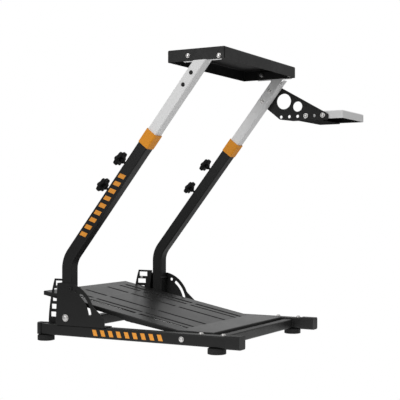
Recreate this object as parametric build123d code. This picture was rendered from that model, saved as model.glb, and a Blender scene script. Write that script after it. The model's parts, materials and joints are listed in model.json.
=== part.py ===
from build123d import *
from math import atan2, cos, degrees, hypot, radians, sin, sqrt, tan
import os

# Racing wheel stand. Millimetres, +Z up. The driver sits at -Y and looks along +Y, so +X is the right.
# Heights are measured from the floor, and places along Y from the axis of the uprights' lower part.

# Base frame
RAIL_SPACING = 550.0        # between the centre lines of the two floor rails, and of the two uprights
RAIL_SIDE = 35.0            # square floor rail
RAIL_WALL = 1.5
RAIL_CORNER = 4.0
RAIL_BOTTOM = 20.0          # clear height under the rails
RAIL_FRONT = 115.0          # rail end ahead of the uprights' axis
RAIL_REAR = 618.0           # rail end behind the uprights' axis
CAP_LENGTH = 48.0           # plastic sleeve caps over the rails' rear ends
CAP_WALL = 2.5
CAP_END = 3.0
PLUG_LENGTH = 15.0          # plastic plugs in the rails' front ends
FRONT_TUBE_DEPTH = 35.0     # front cross tube, flush with the rails' tops and front ends
REAR_TUBE_SIDE = 30.0       # rear cross tube, square, between the rails
REAR_TUBE_BACK = 545.0      # its rear face behind the uprights' axis
CROSS_TUBE_WALL = 1.5

# Feet
FOOT_RADIUS = 28.0
FOOT_HEIGHT = 18.0
FOOT_EDGE = 2.5
FOOT_STEM_RADIUS = 7.0
FOOT_FRONT = 96.0           # ahead of the uprights' axis
FOOT_REAR = 537.0           # behind the uprights' axis

# Uprights: bent square tubes that swing about a bolt in each bracket
UPRIGHT_SIDE = 38.0
UPRIGHT_WALL = 1.2
UPRIGHT_CORNER = 4.0
UPRIGHT_BEND_HEIGHT = 264.0     # where the two centre lines would cross
UPRIGHT_BEND_RADIUS = 80.0
UPRIGHT_LEAN = 51.2             # slope of the upper part, degrees above level
UPRIGHT_UPPER = 508.0           # upper part, from the crossing to the tube's open end
END_GAP = 2.5                   # under the rounded lower end
BOLT_CLEARANCE = 0.1            # round the shank of a bolt that something turns on

# Collars and inner tubes
COLLAR_WALL = 2.0
COLLAR_LENGTH = 50.0
COLLAR_LIP = 4.0
SLIDE_GAP = 0.3             # between the telescoping tubes, each side
INNER_WALL = 1.5
INNER_CORNER = 3.0
INNER_LOWER_END = 225.0     # along the upper part, from the crossing
INNER_TOP_GAP = 1.5         # from the level cut at the top up to the arms' lower edge
INNER_NOTCH_WIDTH = 8.0     # cut into the top beside the deck, for the deck's tilt
INNER_NOTCH_DEPTH = 12.5

# Clamp knobs
KNOB_STATIONS = (268.0, 372.0)      # along the upper part, from the crossing
KNOB_STEM_RADIUS = 5.0
KNOB_STEM_GAP = 0.3
KNOB_BOSS_RADIUS = 9.0
KNOB_BOSS_HEIGHT = 1.5
KNOB_HUB_RADIUS = 11.0
KNOB_HUB_START = 33.0       # from the tube's axis
KNOB_HEAD_START = 39.0
KNOB_HEAD_HEIGHT = 20.0
KNOB_LOBES = 6
KNOB_LOBE_RADIUS = 6.5
KNOB_LOBE_OFFSET = 14.5
KNOB_ROUND = 2.0

# Upright brackets: folded plate with an outer fan, a front web and an inner ladder
BRACKET_PLATE = 3.0
BRACKET_BASE = 2.5
BRACKET_SIDE_GAP = 1.0      # between the upright and each cheek
PIVOT_BOLT_RADIUS = 5.0
PIVOT_HEAD_RADIUS = 11.5
PIVOT_HEAD_HEIGHT = 9.0
NUT_HEIGHT = 4.0
FAN_TOP = 190.0
FAN_RADIUS = 113.0          # edge of the fan about the pivot bolt
FAN_BACK = 68.0             # end of the round edge, degrees behind the upright position
FAN_TOE = 150.0             # rear end of the fan behind the uprights' axis
FAN_TOE_HEIGHT = 82.0
FAN_FRONT_TOP = 33.0        # front edge of the fan ahead of the axis, at its top
FAN_FRONT_BASE = 40.0       # and at the rail
LOCK_RADIUS = 96.0          # lock holes and slot about the pivot bolt
LOCK_HOLES = (12.0, 25.0)   # degrees behind the upright position
LOCK_HOLE_RADIUS = 5.5
LOCK_SLOT = (38.0, 80.0)    # degrees behind the upright position
LADDER_TOP = 200.0
LADDER_WIDTH = 58.0
LADDER_FRONT = 528.0        # radius of its front edge about the pedal plate's pivot
LADDER_STEPS = 5
LADDER_PITCH = 25.6
LADDER_FIRST = 28.0         # lowest opening's centre above the rail
LADDER_OPENING_WIDTH = 34.0
LADDER_OPENING_HEIGHT = 16.0
LADDER_OPENING_EDGE = 8.0   # web left ahead of the openings
CHEEK_TOP = 108.0           # inner cheek beside the pivot bolt
CHEEK_REAR = 32.0

# Pedal plate: a bent sheet with side flanges, between the ladders
PEDAL_SIDE_GAP = 9.0        # between the plate and each ladder
PEDAL_SHEET = 2.0
PEDAL_CORNER = 3.0          # round fold along the side flanges
PEDAL_FLANGE = 14.0
PEDAL_SKIRT = 20.0          # deeper stretch of the side flanges
PEDAL_SKIRT_FRONT = 165.0   # its front end behind the uprights' axis
PEDAL_SKIRT_SLOPE = 30.0    # length of the slope down to its full depth
PEDAL_FRONT = 131.0         # front edge ahead of the uprights' axis
PEDAL_FRONT_HEIGHT = 157.5
PEDAL_BEND = 385.0          # bend line behind the uprights' axis
PEDAL_BEND_RADIUS = 30.0
PEDAL_FLAT_HEIGHT = 57.5
PEDAL_REAR = 508.0
PEDAL_PIVOT = 426.0
PEDAL_PIVOT_HEIGHT = 38.0
PEDAL_LUG_RADIUS = 12.0
PEDAL_LUG_HALF = 26.0
PEDAL_BOLT_RADIUS = 5.0
PEDAL_SLOT_COLUMNS = ((66.0, 5.0), (145.0, 5.0), (183.0, 9.0))      # each side of the middle, width
PEDAL_SLOT_FRONT = 88.0     # front end of the foremost row, ahead of the uprights' axis
PEDAL_SLOT_LENGTHS = (88.0, 178.0, 178.0)   # row by row, from the front
PEDAL_SLOT_GAP = 14.0       # between one row and the next

# Wheel deck and its arms. Heights hang from the deck's top, and places along Y start
# from the inner tubes' axis at the arms' lower edge.
DECK_SHEET = 2.0
DECK_TOP = 912.0
DECK_FLANGE = 37.0
DECK_AHEAD = 131.0          # front flange ahead of the tubes' axis
DECK_DEPTH = 197.0
DECK_CORNER = 4.0           # round folds, upright and level ones alike
DECK_GAP = 0.5              # between the deck's side flange and the arm
DECK_PIVOT_AHEAD = 59.0
DECK_PIVOT_DROP = 21.0
DECK_LOCK_BACK = 106.0      # lock bolt behind the deck's pivot
DECK_LOCK_DROP = 7.0        # and below it
DECK_TILT = 6.5             # degrees
DECK_BOLT_RADIUS = 4.0
DECK_HEAD_RADIUS = 8.0
DECK_HEAD_HEIGHT = 4.5
DECK_HEAD_GAP = 0.3
DECK_HOLE_RADIUS = 3.5
DECK_HOLES_X = 190.0
DECK_HOLES_Y = 100.0
ARM_PLATE = 3.0
ARM_NOSE = 17.0             # arm ahead of the deck's pivot
ARM_TAIL = 8.0              # arm behind the lock bolt
ARM_SHOW = 3.0              # of the arm, below the deck's flange
ARM_TOP_DROP = 9.0
ARM_TAB_HALF = 15.5
ARM_TAB_LENGTH = 112.0      # down the tube from the arm's lower edge
ARM_ROUND = 4.0
ARM_BOLTS = (48.0, 92.0)    # bolt holes in tab and tube, down the tube from the arm's lower edge
ARM_BOLT_RADIUS = 4.3

# Shifter mount, on the right inner tube. Its places are measured from the tube's axis
# at the mount's top edge, as distances behind it and drops below it.
GUSSET_PLATE = 4.0
GUSSET_ROUND = 4.0
GUSSET_TIP_ROUND = 9.0
GUSSET_GAP = 13.4           # from the inner tube's top down to the mount's top edge
GUSSET_TUBE_DROP = 70.0     # lower end on the tube
GUSSET_HEEL = 78.0          # lower edge, square to the tube, from the tube's axis
GUSSET_TIP = 185.0
GUSSET_TIP_DROP = 107.0
SHELF_DEPTH = 76.0          # flange folded out of the bottom edge, under the tray's front
SHELF_INSET = 10.0          # from the tray's outer side
SHELF_LEAD = 20.0           # level bottom edge ahead of the flange
BIG_HOLE = (19.7, 56.4, 27.0)           # behind, drop, radius
MEDIUM_HOLE = (71.4, 76.4, 17.5)
ROW_HOLES = 6
ROW_FIRST = 9.2
ROW_PITCH = 31.0
ROW_DROP = 110.1
ROW_RADIUS = 5.5
TRAY_SHEET = 2.0
TRAY_LIP = 27.0
TRAY_DROP = 95.0
TRAY_BEHIND = 74.1
TRAY_DEPTH = 162.0
TRAY_WIDTH = 205.0
TRAY_HOLES_X = 100.0
TRAY_HOLES_Y = 70.0
TRAY_HOLE_RADIUS = 3.5

# Worked out from the sizes above
HALF = RAIL_SPACING / 2
RAIL_TOP = RAIL_BOTTOM + RAIL_SIDE
RAIL_INNER = HALF - RAIL_SIDE / 2
RAIL_OUTER = HALF + RAIL_SIDE / 2
BRACKET_FLOOR = RAIL_TOP + BRACKET_BASE
PIVOT_HEIGHT = BRACKET_FLOOR + END_GAP + UPRIGHT_SIDE / 2
CHEEK_INSIDE = UPRIGHT_SIDE / 2 + BRACKET_SIDE_GAP
CHEEK_OUTSIDE = CHEEK_INSIDE + BRACKET_PLATE
PEDAL_HALF_WIDTH = HALF - CHEEK_OUTSIDE - PEDAL_SIDE_GAP
INNER_SIDE = UPRIGHT_SIDE - 2 * UPRIGHT_WALL - 2 * SLIDE_GAP
LEAN = radians(UPRIGHT_LEAN)
ARM_OUTER = HALF - INNER_SIDE / 2
DECK_HALF = ARM_OUTER + DECK_GAP + DECK_SHEET
ARM_TOP = DECK_TOP - ARM_TOP_DROP
ARM_BOTTOM = DECK_TOP - DECK_FLANGE - ARM_SHOW
ARM_ALONG = (ARM_BOTTOM - UPRIGHT_BEND_HEIGHT) / sin(LEAN)
DECK_FRONT = ARM_ALONG * cos(LEAN) - DECK_AHEAD
DECK_REAR = DECK_FRONT + DECK_DEPTH
DECK_PIVOT = ARM_ALONG * cos(LEAN) - DECK_PIVOT_AHEAD
DECK_PIVOT_HEIGHT = DECK_TOP - DECK_PIVOT_DROP
DECK_LOCK = DECK_PIVOT + DECK_LOCK_BACK
DECK_LOCK_HEIGHT = DECK_PIVOT_HEIGHT - DECK_LOCK_DROP
INNER_TOP = ARM_BOTTOM - INNER_TOP_GAP
GUSSET_TOP = INNER_TOP - GUSSET_GAP
GUSSET_AXIS = (GUSSET_TOP - UPRIGHT_BEND_HEIGHT) / tan(LEAN)
GUSSET_INNER = HALF + INNER_SIDE / 2
TRAY_INNER = GUSSET_INNER + GUSSET_PLATE
TRAY_TOP = GUSSET_TOP - TRAY_DROP
TRAY_FRONT = GUSSET_AXIS + TRAY_BEHIND
TRAY_REAR = TRAY_FRONT + TRAY_DEPTH
GUSSET_DEPTH = TRAY_DROP + TRAY_LIP + GUSSET_PLATE
THROUGH = RAIL_SPACING      # reach of a cut that goes right through
EDGE_MATCH = 0.01           # how near an edge lies to where it is looked for


def face(*points):
    """Flat outline with sharp corners."""
    return make_face(Polyline(*points, close=True))


def rounded_face(radius, *points):
    """Flat outline with its corners rounded, alike or by a list of radii."""
    return make_face(FilletPolyline(*points, radius=radius, close=True))


def side_plate(outline, start, end):
    """A plate in the YZ plane, between two places along X."""
    return extrude(Plane.YZ.offset(start) * outline, amount=end - start)


def cross_hole(behind, height, radius, start=-THROUGH, end=THROUGH):
    """A round bar along X, used for holes and bolts."""
    return side_plate(Pos(-behind, height) * Circle(radius), start, end)


def hex_along_x(behind, height, radius, start, end):
    return side_plate(Pos(-behind, height) * RegularPolygon(radius, 6), start, end)


def square_ring(side, wall, corner):
    """Section of a square tube with rounded corners."""
    return RectangleRounded(side, side, corner) - RectangleRounded(
        side - 2 * wall, side - 2 * wall, corner - wall
    )


def incline(x):
    """The upper part's own plane: X as it is, Y out of the tube's front face, Z up along the tube."""
    return Plane(
        origin=(x, 0, UPRIGHT_BEND_HEIGHT), x_dir=(1, 0, 0), z_dir=(0, -cos(LEAN), sin(LEAN))
    )


def on_incline(across, along):
    """A point of the upper part's side view, as (Y, height)."""
    return (
        -along * cos(LEAN) + across * sin(LEAN),
        UPRIGHT_BEND_HEIGHT + along * sin(LEAN) + across * cos(LEAN),
    )


def about_pivot(radius, angle):
    """A point about the upright's pivot bolt, at an angle in degrees behind upright."""
    turn = radians(angle)
    return (-radius * sin(turn), PIVOT_HEIGHT + radius * cos(turn))


def about_pedal_pivot(radius, height):
    """A point at a height, at a radius about the pedal plate's pivot."""
    return (-PEDAL_PIVOT + sqrt(radius**2 - (height - PEDAL_PIVOT_HEIGHT) ** 2), height)


def rail():
    """Left floor rail with the holes for the pedal plate's pivot bolt."""
    section = Plane.XZ * square_ring(RAIL_SIDE, RAIL_WALL, RAIL_CORNER)
    tube = extrude(section, amount=RAIL_FRONT + RAIL_REAR)
    tube = Pos(-HALF, RAIL_FRONT, RAIL_BOTTOM + RAIL_SIDE / 2) * tube
    return tube - cross_hole(PEDAL_PIVOT, PEDAL_PIVOT_HEIGHT, PEDAL_BOLT_RADIUS + BOLT_CLEARANCE)


def rail_end(along, inward):
    """Plane on an end of the left rail, facing into it."""
    middle = (-HALF, along, RAIL_BOTTOM + RAIL_SIDE / 2)
    return Plane(origin=middle, x_dir=(1, 0, 0), z_dir=(0, inward, 0))


def rear_cap():
    """Sleeve cap over the left rail's rear end."""
    side = RAIL_SIDE + 2 * CAP_WALL
    shell = RectangleRounded(side, side, RAIL_CORNER + CAP_WALL)
    cavity = RectangleRounded(RAIL_SIDE, RAIL_SIDE, RAIL_CORNER)
    start = rail_end(-RAIL_REAR, 1)
    cap = extrude(start.offset(-CAP_END) * shell, amount=CAP_LENGTH)
    return cap - extrude(start * cavity, amount=CAP_LENGTH)


def front_plug():
    """Plug with a flat head in the left rail's front end."""
    bore = RAIL_SIDE - 2 * RAIL_WALL
    start = rail_end(RAIL_FRONT, -1)
    outline = RectangleRounded(RAIL_SIDE, RAIL_SIDE, RAIL_CORNER)
    head = extrude(start.offset(-CAP_END) * outline, amount=CAP_END)
    core = RectangleRounded(bore, bore, RAIL_CORNER - RAIL_WALL)
    return head + extrude(start * core, amount=PLUG_LENGTH)


def cross_tube(rear, front, bottom, top):
    """Tube between the rails, open at both ends where it meets them."""
    depth = front - rear
    height = top - bottom
    section = RectangleRounded(depth, height, RAIL_CORNER) - RectangleRounded(
        depth - 2 * CROSS_TUBE_WALL, height - 2 * CROSS_TUBE_WALL, RAIL_CORNER - CROSS_TUBE_WALL
    )
    place = Plane.YZ.offset(-RAIL_INNER) * Pos((front + rear) / 2, (top + bottom) / 2)
    return extrude(place * section, amount=2 * RAIL_INNER)


def foot(ahead):
    """Rubber foot on a short stem under the left rail."""
    profile = face(
        (0, 0), (FOOT_RADIUS - FOOT_EDGE, 0), (FOOT_RADIUS, FOOT_EDGE),
        (FOOT_RADIUS, FOOT_HEIGHT - FOOT_EDGE), (FOOT_RADIUS - FOOT_EDGE, FOOT_HEIGHT),
        (FOOT_STEM_RADIUS, FOOT_HEIGHT), (FOOT_STEM_RADIUS, RAIL_BOTTOM), (0, RAIL_BOTTOM),
    )
    return Pos(-HALF, ahead, 0) * revolve(Plane.XZ * profile, Axis.Z)


def fan_outline():
    """Outer cheek: level top, round edge about the pivot, sloping toe on the rail."""
    top_back = (-sqrt(FAN_RADIUS**2 - (FAN_TOP - PIVOT_HEIGHT) ** 2), FAN_TOP)
    top_angle = degrees(atan2(-top_back[0], FAN_TOP - PIVOT_HEIGHT))
    low_back = about_pivot(FAN_RADIUS, FAN_BACK)
    back = ThreePointArc(top_back, about_pivot(FAN_RADIUS, (top_angle + FAN_BACK) / 2), low_back)
    rest = Polyline(
        low_back, (-FAN_TOE, FAN_TOE_HEIGHT), (-FAN_TOE, RAIL_TOP),
        (FAN_FRONT_BASE, RAIL_TOP), (FAN_FRONT_TOP, FAN_TOP), top_back,
    )
    return make_face([back, rest])


def lock_slot():
    """Arc slot about the pivot bolt, with round ends."""
    start, end = LOCK_SLOT
    middle = (start + end) / 2
    inner = LOCK_RADIUS - LOCK_HOLE_RADIUS
    outer = LOCK_RADIUS + LOCK_HOLE_RADIUS
    band = make_face([
        ThreePointArc(about_pivot(inner, start), about_pivot(inner, middle), about_pivot(inner, end)),
        Line(about_pivot(inner, end), about_pivot(outer, end)),
        ThreePointArc(about_pivot(outer, end), about_pivot(outer, middle), about_pivot(outer, start)),
        Line(about_pivot(outer, start), about_pivot(inner, start)),
    ])
    for angle in LOCK_SLOT:
        band += Pos(*about_pivot(LOCK_RADIUS, angle)) * Circle(LOCK_HOLE_RADIUS)
    return band


def ladder_outline():
    """Inner cheek: a curved strip with openings, and a low cheek beside the pivot bolt."""
    low_front = about_pedal_pivot(LADDER_FRONT, RAIL_TOP)
    high_front = about_pedal_pivot(LADDER_FRONT, LADDER_TOP)
    mid_front = about_pedal_pivot(LADDER_FRONT, (RAIL_TOP + LADDER_TOP) / 2)
    front = ThreePointArc(low_front, mid_front, high_front)
    rest = Polyline(
        high_front, (high_front[0] - LADDER_WIDTH, LADDER_TOP), (FAN_FRONT_TOP, CHEEK_TOP),
        (-CHEEK_REAR, CHEEK_TOP), (-CHEEK_REAR, RAIL_TOP), low_front,
    )
    plate = make_face([front, rest])
    for step in range(LADDER_STEPS):
        height = RAIL_TOP + LADDER_FIRST + step * LADDER_PITCH
        edge = about_pedal_pivot(LADDER_FRONT, height)[0] - LADDER_OPENING_EDGE
        plate -= Pos(edge - LADDER_OPENING_WIDTH / 2, height) * Rectangle(
            LADDER_OPENING_WIDTH, LADDER_OPENING_HEIGHT
        )
    return plate


def bracket():
    """Left bracket, standing on the rail round the foot of the upright."""
    fan = fan_outline() - lock_slot()
    for angle in LOCK_HOLES:
        fan -= Pos(*about_pivot(LOCK_RADIUS, angle)) * Circle(LOCK_HOLE_RADIUS)
    outer = side_plate(fan, -HALF - CHEEK_OUTSIDE, -HALF - CHEEK_INSIDE)
    inner = side_plate(ladder_outline(), -HALF + CHEEK_INSIDE, -HALF + CHEEK_OUTSIDE)
    web = face(
        (FAN_FRONT_BASE - BRACKET_PLATE, RAIL_TOP), (FAN_FRONT_BASE, RAIL_TOP),
        (FAN_FRONT_TOP, FAN_TOP), (FAN_FRONT_TOP - BRACKET_PLATE, FAN_TOP),
    )
    front = side_plate(web, -HALF - CHEEK_OUTSIDE, -HALF + CHEEK_OUTSIDE)
    base = face(
        (-FAN_TOE, RAIL_TOP), (FAN_FRONT_BASE, RAIL_TOP),
        (FAN_FRONT_BASE, BRACKET_FLOOR), (-FAN_TOE, BRACKET_FLOOR),
    )
    floor = side_plate(base, -HALF - CHEEK_OUTSIDE, -HALF + CHEEK_INSIDE)
    body = outer + inner + front + floor
    return body - cross_hole(0, PIVOT_HEIGHT, PIVOT_BOLT_RADIUS + BOLT_CLEARANCE)


def pivot_bolt():
    """Bolt through the left bracket and upright, with a domed head outside and a nut inside."""
    outside = -HALF - CHEEK_OUTSIDE
    inside = -HALF + CHEEK_OUTSIDE
    shank = cross_hole(0, PIVOT_HEIGHT, PIVOT_BOLT_RADIUS, outside, inside)
    head = cross_hole(0, PIVOT_HEIGHT, PIVOT_HEAD_RADIUS, outside - PIVOT_HEAD_HEIGHT, outside)
    head = fillet(head.edges().group_by(Axis.X)[0], PIVOT_HEAD_HEIGHT / 2)
    nut = hex_along_x(0, PIVOT_HEIGHT, PIVOT_HEAD_RADIUS, inside, inside + NUT_HEIGHT)
    return shank + head + nut


def pedal_bolt():
    """Bolt through the left rail that the pedal plate turns on, with a spacer between the two."""
    lug_outer = -PEDAL_HALF_WIDTH - DECK_HEAD_GAP
    lug_inner = -PEDAL_HALF_WIDTH + PEDAL_SHEET + DECK_HEAD_GAP
    place = (PEDAL_PIVOT, PEDAL_PIVOT_HEIGHT)
    shank = cross_hole(*place, PEDAL_BOLT_RADIUS, -RAIL_OUTER, lug_inner)
    head = cross_hole(*place, DECK_HEAD_RADIUS, -RAIL_OUTER - DECK_HEAD_HEIGHT, -RAIL_OUTER)
    head = fillet(head.edges().group_by(Axis.X)[0], DECK_HEAD_HEIGHT / 2)
    spacer = cross_hole(*place, DECK_HEAD_RADIUS, -RAIL_INNER, lug_outer)
    nut = hex_along_x(*place, DECK_HEAD_RADIUS, lug_inner, lug_inner + NUT_HEIGHT)
    return shank + head + spacer + nut


def upright():
    """Left upright: one bent square tube, rounded at its lower end, with bosses for the knobs."""
    low = PIVOT_HEIGHT - UPRIGHT_SIDE / 2
    top = on_incline(0, UPRIGHT_UPPER)
    path = FilletPolyline(
        (-HALF, 0, low), (-HALF, 0, UPRIGHT_BEND_HEIGHT), (-HALF, *top), radius=UPRIGHT_BEND_RADIUS
    )
    start = Plane(origin=(-HALF, 0, low), x_dir=(1, 0, 0), z_dir=(0, 0, 1))
    tube = sweep(start * square_ring(UPRIGHT_SIDE, UPRIGHT_WALL, UPRIGHT_CORNER), path=path)
    corner = Rectangle(UPRIGHT_SIDE, UPRIGHT_SIDE / 2, align=(Align.CENTER, Align.MAX))
    trim = Pos(0, PIVOT_HEIGHT) * (corner - Circle(UPRIGHT_SIDE / 2))
    tube -= side_plate(trim, -HALF - UPRIGHT_SIDE, -HALF + UPRIGHT_SIDE)
    tube -= cross_hole(0, PIVOT_HEIGHT, PIVOT_BOLT_RADIUS + BOLT_CLEARANCE)
    wall_inside = UPRIGHT_SIDE / 2 - UPRIGHT_WALL
    for along in KNOB_STATIONS:
        seat = incline(-HALF) * Pos(0, 0, along) * Rot(X=-90)
        boss = Pos(0, 0, UPRIGHT_SIDE / 2) * Cylinder(
            KNOB_BOSS_RADIUS, KNOB_BOSS_HEIGHT, align=(Align.CENTER, Align.CENTER, Align.MIN)
        )
        hole = Pos(0, 0, wall_inside - UPRIGHT_WALL) * Cylinder(
            KNOB_STEM_RADIUS + KNOB_STEM_GAP, KNOB_HUB_START,
            align=(Align.CENTER, Align.CENTER, Align.MIN),
        )
        tube = tube + seat * boss - seat * hole
    return tube


def collar():
    """Left collar: a sleeve over the upright's open end with a lip round the inner tube."""
    outer = UPRIGHT_SIDE + 2 * COLLAR_WALL
    start = UPRIGHT_UPPER + COLLAR_LIP - COLLAR_LENGTH
    sleeve = extrude(RectangleRounded(outer, outer, UPRIGHT_CORNER + COLLAR_WALL), amount=COLLAR_LENGTH)
    seat = RectangleRounded(UPRIGHT_SIDE, UPRIGHT_SIDE, UPRIGHT_CORNER)
    bore = UPRIGHT_SIDE - 2 * UPRIGHT_WALL
    way = RectangleRounded(bore, bore, UPRIGHT_CORNER - UPRIGHT_WALL)
    sleeve -= extrude(seat, amount=COLLAR_LENGTH - COLLAR_LIP)
    sleeve -= extrude(way, amount=COLLAR_LENGTH)
    return incline(-HALF) * Pos(0, 0, start) * sleeve


def arm_bolt_places():
    """Bolt holes that the arm's tab and the inner tube share, as (behind, height)."""
    spots = [on_incline(0, ARM_ALONG - down) for down in ARM_BOLTS]
    return [(-y, height) for y, height in spots]


def inner_tube():
    """Left inner tube: telescopes in the upright, cut level at the top and notched beside the deck."""
    length = (INNER_TOP - UPRIGHT_BEND_HEIGHT) / sin(LEAN) + INNER_SIDE
    tube = extrude(square_ring(INNER_SIDE, INNER_WALL, INNER_CORNER), amount=length - INNER_LOWER_END)
    tube = incline(-HALF) * Pos(0, 0, INNER_LOWER_END) * tube
    for hole in arm_bolt_places():
        tube -= cross_hole(*hole, ARM_BOLT_RADIUS)
    upward = (Align.CENTER, Align.CENTER, Align.MIN)
    above = Pos(-HALF, on_incline(0, length)[0], INNER_TOP) * Box(THROUGH, THROUGH, THROUGH, align=upward)
    beside = Pos(-ARM_OUTER, on_incline(0, length)[0], INNER_TOP - INNER_NOTCH_DEPTH) * Box(
        2 * INNER_NOTCH_WIDTH, THROUGH, THROUGH, align=upward
    )
    return tube - above - beside


def knob(along):
    """Star knob on the front of the left upright, with its stem reaching in to the inner tube."""
    lobes = Circle(KNOB_LOBE_OFFSET)
    lobes += PolarLocations(KNOB_LOBE_OFFSET, KNOB_LOBES) * Circle(KNOB_LOBE_RADIUS)
    head = extrude(lobes, amount=KNOB_HEAD_HEIGHT)
    head = fillet(head.edges().group_by(Axis.Z)[-1], KNOB_ROUND)
    upward = (Align.CENTER, Align.CENTER, Align.MIN)
    tip = INNER_SIDE / 2 + SLIDE_GAP
    whole = Pos(0, 0, KNOB_HEAD_START) * head
    whole += Pos(0, 0, KNOB_HUB_START) * Cylinder(
        KNOB_HUB_RADIUS, KNOB_HEAD_START - KNOB_HUB_START, align=upward
    )
    whole += Pos(0, 0, tip) * Cylinder(KNOB_STEM_RADIUS, KNOB_HUB_START - tip, align=upward)
    return incline(-HALF) * Pos(0, 0, along) * Rot(X=-90) * whole


def deck_slot():
    """Arc slot for the lock bolt in the deck's side flange, about the deck's pivot."""
    radius = hypot(DECK_LOCK_BACK, DECK_LOCK_DROP)
    rest = atan2(-DECK_LOCK_DROP, -DECK_LOCK_BACK)
    half = DECK_BOLT_RADIUS + DECK_HEAD_GAP
    turn = -radians(DECK_TILT)
    steps = (0.0, 0.5, 1.0)
    def place(distance, share):
        angle = rest + turn * share
        return (-DECK_PIVOT + distance * cos(angle), DECK_PIVOT_HEIGHT + distance * sin(angle))
    inner = [place(radius - half, share) for share in steps]
    outer = [place(radius + half, share) for share in steps]
    band = make_face([
        ThreePointArc(*inner), Line(inner[2], outer[2]), ThreePointArc(*outer[::-1]), Line(outer[0], inner[0])
    ])
    for share in (0.0, 1.0):
        band += Pos(*place(radius, share)) * Circle(half)
    return band


def folded_tray(outer, hollow, top, depth, sheet):
    """A sheet folded down all round, with round folds, open underneath."""
    block = extrude(Plane.XY.offset(top - depth) * outer, amount=depth)
    block = fillet(block.edges().group_by(Axis.Z)[-1], DECK_CORNER)
    room = extrude(Plane.XY.offset(top - depth) * hollow, amount=depth - sheet)
    return block - fillet(room.edges().group_by(Axis.Z)[-1], DECK_CORNER - sheet)


def wheel_deck():
    """Folded tray, open underneath, that the wheel base bolts to."""
    depth = DECK_REAR - DECK_FRONT
    width = 2 * DECK_HALF
    outer = Pos(0, -(DECK_FRONT + DECK_REAR) / 2) * RectangleRounded(width, depth, DECK_CORNER)
    hollow = Pos(0, -(DECK_FRONT + DECK_REAR) / 2) * RectangleRounded(
        width - 2 * DECK_SHEET, depth - 2 * DECK_SHEET, DECK_CORNER - DECK_SHEET
    )
    tray = folded_tray(outer, hollow, DECK_TOP, DECK_FLANGE, DECK_SHEET)
    tray -= cross_hole(DECK_PIVOT, DECK_PIVOT_HEIGHT, DECK_BOLT_RADIUS + BOLT_CLEARANCE)
    tray -= side_plate(deck_slot(), -THROUGH, THROUGH)
    centre = Pos(0, -(DECK_FRONT + DECK_REAR) / 2, DECK_TOP)
    for spot in GridLocations(DECK_HOLES_X, DECK_HOLES_Y, 2, 2):
        tray -= centre * spot * Cylinder(DECK_HOLE_RADIUS, DECK_FLANGE)
    return tray


def deck_arm():
    """Left arm: a plate on the inner tube's inner face that reaches up inside the deck's flange."""
    tail = DECK_LOCK + ARM_TAIL
    low_back = on_incline(-ARM_TAB_HALF, ARM_ALONG - ARM_TAB_LENGTH)
    low_front = on_incline(ARM_TAB_HALF, ARM_ALONG - ARM_TAB_LENGTH)
    slope = cos(LEAN) / sin(LEAN)
    bar_back = (low_back[0] - (ARM_BOTTOM - low_back[1]) * slope, ARM_BOTTOM)
    bar_front = (low_front[0] - (ARM_BOTTOM - low_front[1]) * slope, ARM_BOTTOM)
    outline = rounded_face(
        ARM_ROUND,
        (-DECK_PIVOT + ARM_NOSE, ARM_TOP), (-DECK_PIVOT - ARM_NOSE, ARM_TOP),
        (-tail, DECK_LOCK_HEIGHT + ARM_TAIL), (-tail, ARM_BOTTOM), bar_back, low_back, low_front,
        bar_front, (-DECK_PIVOT + ARM_NOSE, ARM_BOTTOM),
    )
    plate = side_plate(outline, -ARM_OUTER, -ARM_OUTER + ARM_PLATE)
    plate -= cross_hole(DECK_PIVOT, DECK_PIVOT_HEIGHT, DECK_BOLT_RADIUS + BOLT_CLEARANCE)
    for hole in arm_bolt_places():
        plate -= cross_hole(*hole, ARM_BOLT_RADIUS)
    return plate - cross_hole(DECK_LOCK, DECK_LOCK_HEIGHT, DECK_BOLT_RADIUS + BOLT_CLEARANCE)


def deck_bolt(behind, height):
    """Bolt from outside the deck's left flange through the arm, with a nut inside."""
    outside = -DECK_HALF - DECK_HEAD_GAP
    inside = -ARM_OUTER + ARM_PLATE
    head = cross_hole(behind, height, DECK_HEAD_RADIUS, outside - DECK_HEAD_HEIGHT, outside)
    head = fillet(head.edges().group_by(Axis.X)[0], DECK_HEAD_HEIGHT / 2)
    shank = cross_hole(behind, height, DECK_BOLT_RADIUS, outside, inside)
    nut = hex_along_x(behind, height, DECK_HEAD_RADIUS, inside, inside + DECK_HEAD_HEIGHT)
    return head + shank + nut


def gusset_point(behind, drop):
    """A point of the shifter mount's side view, from the tube's axis at its top edge."""
    return (-GUSSET_AXIS - behind, GUSSET_TOP - drop)


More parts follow.
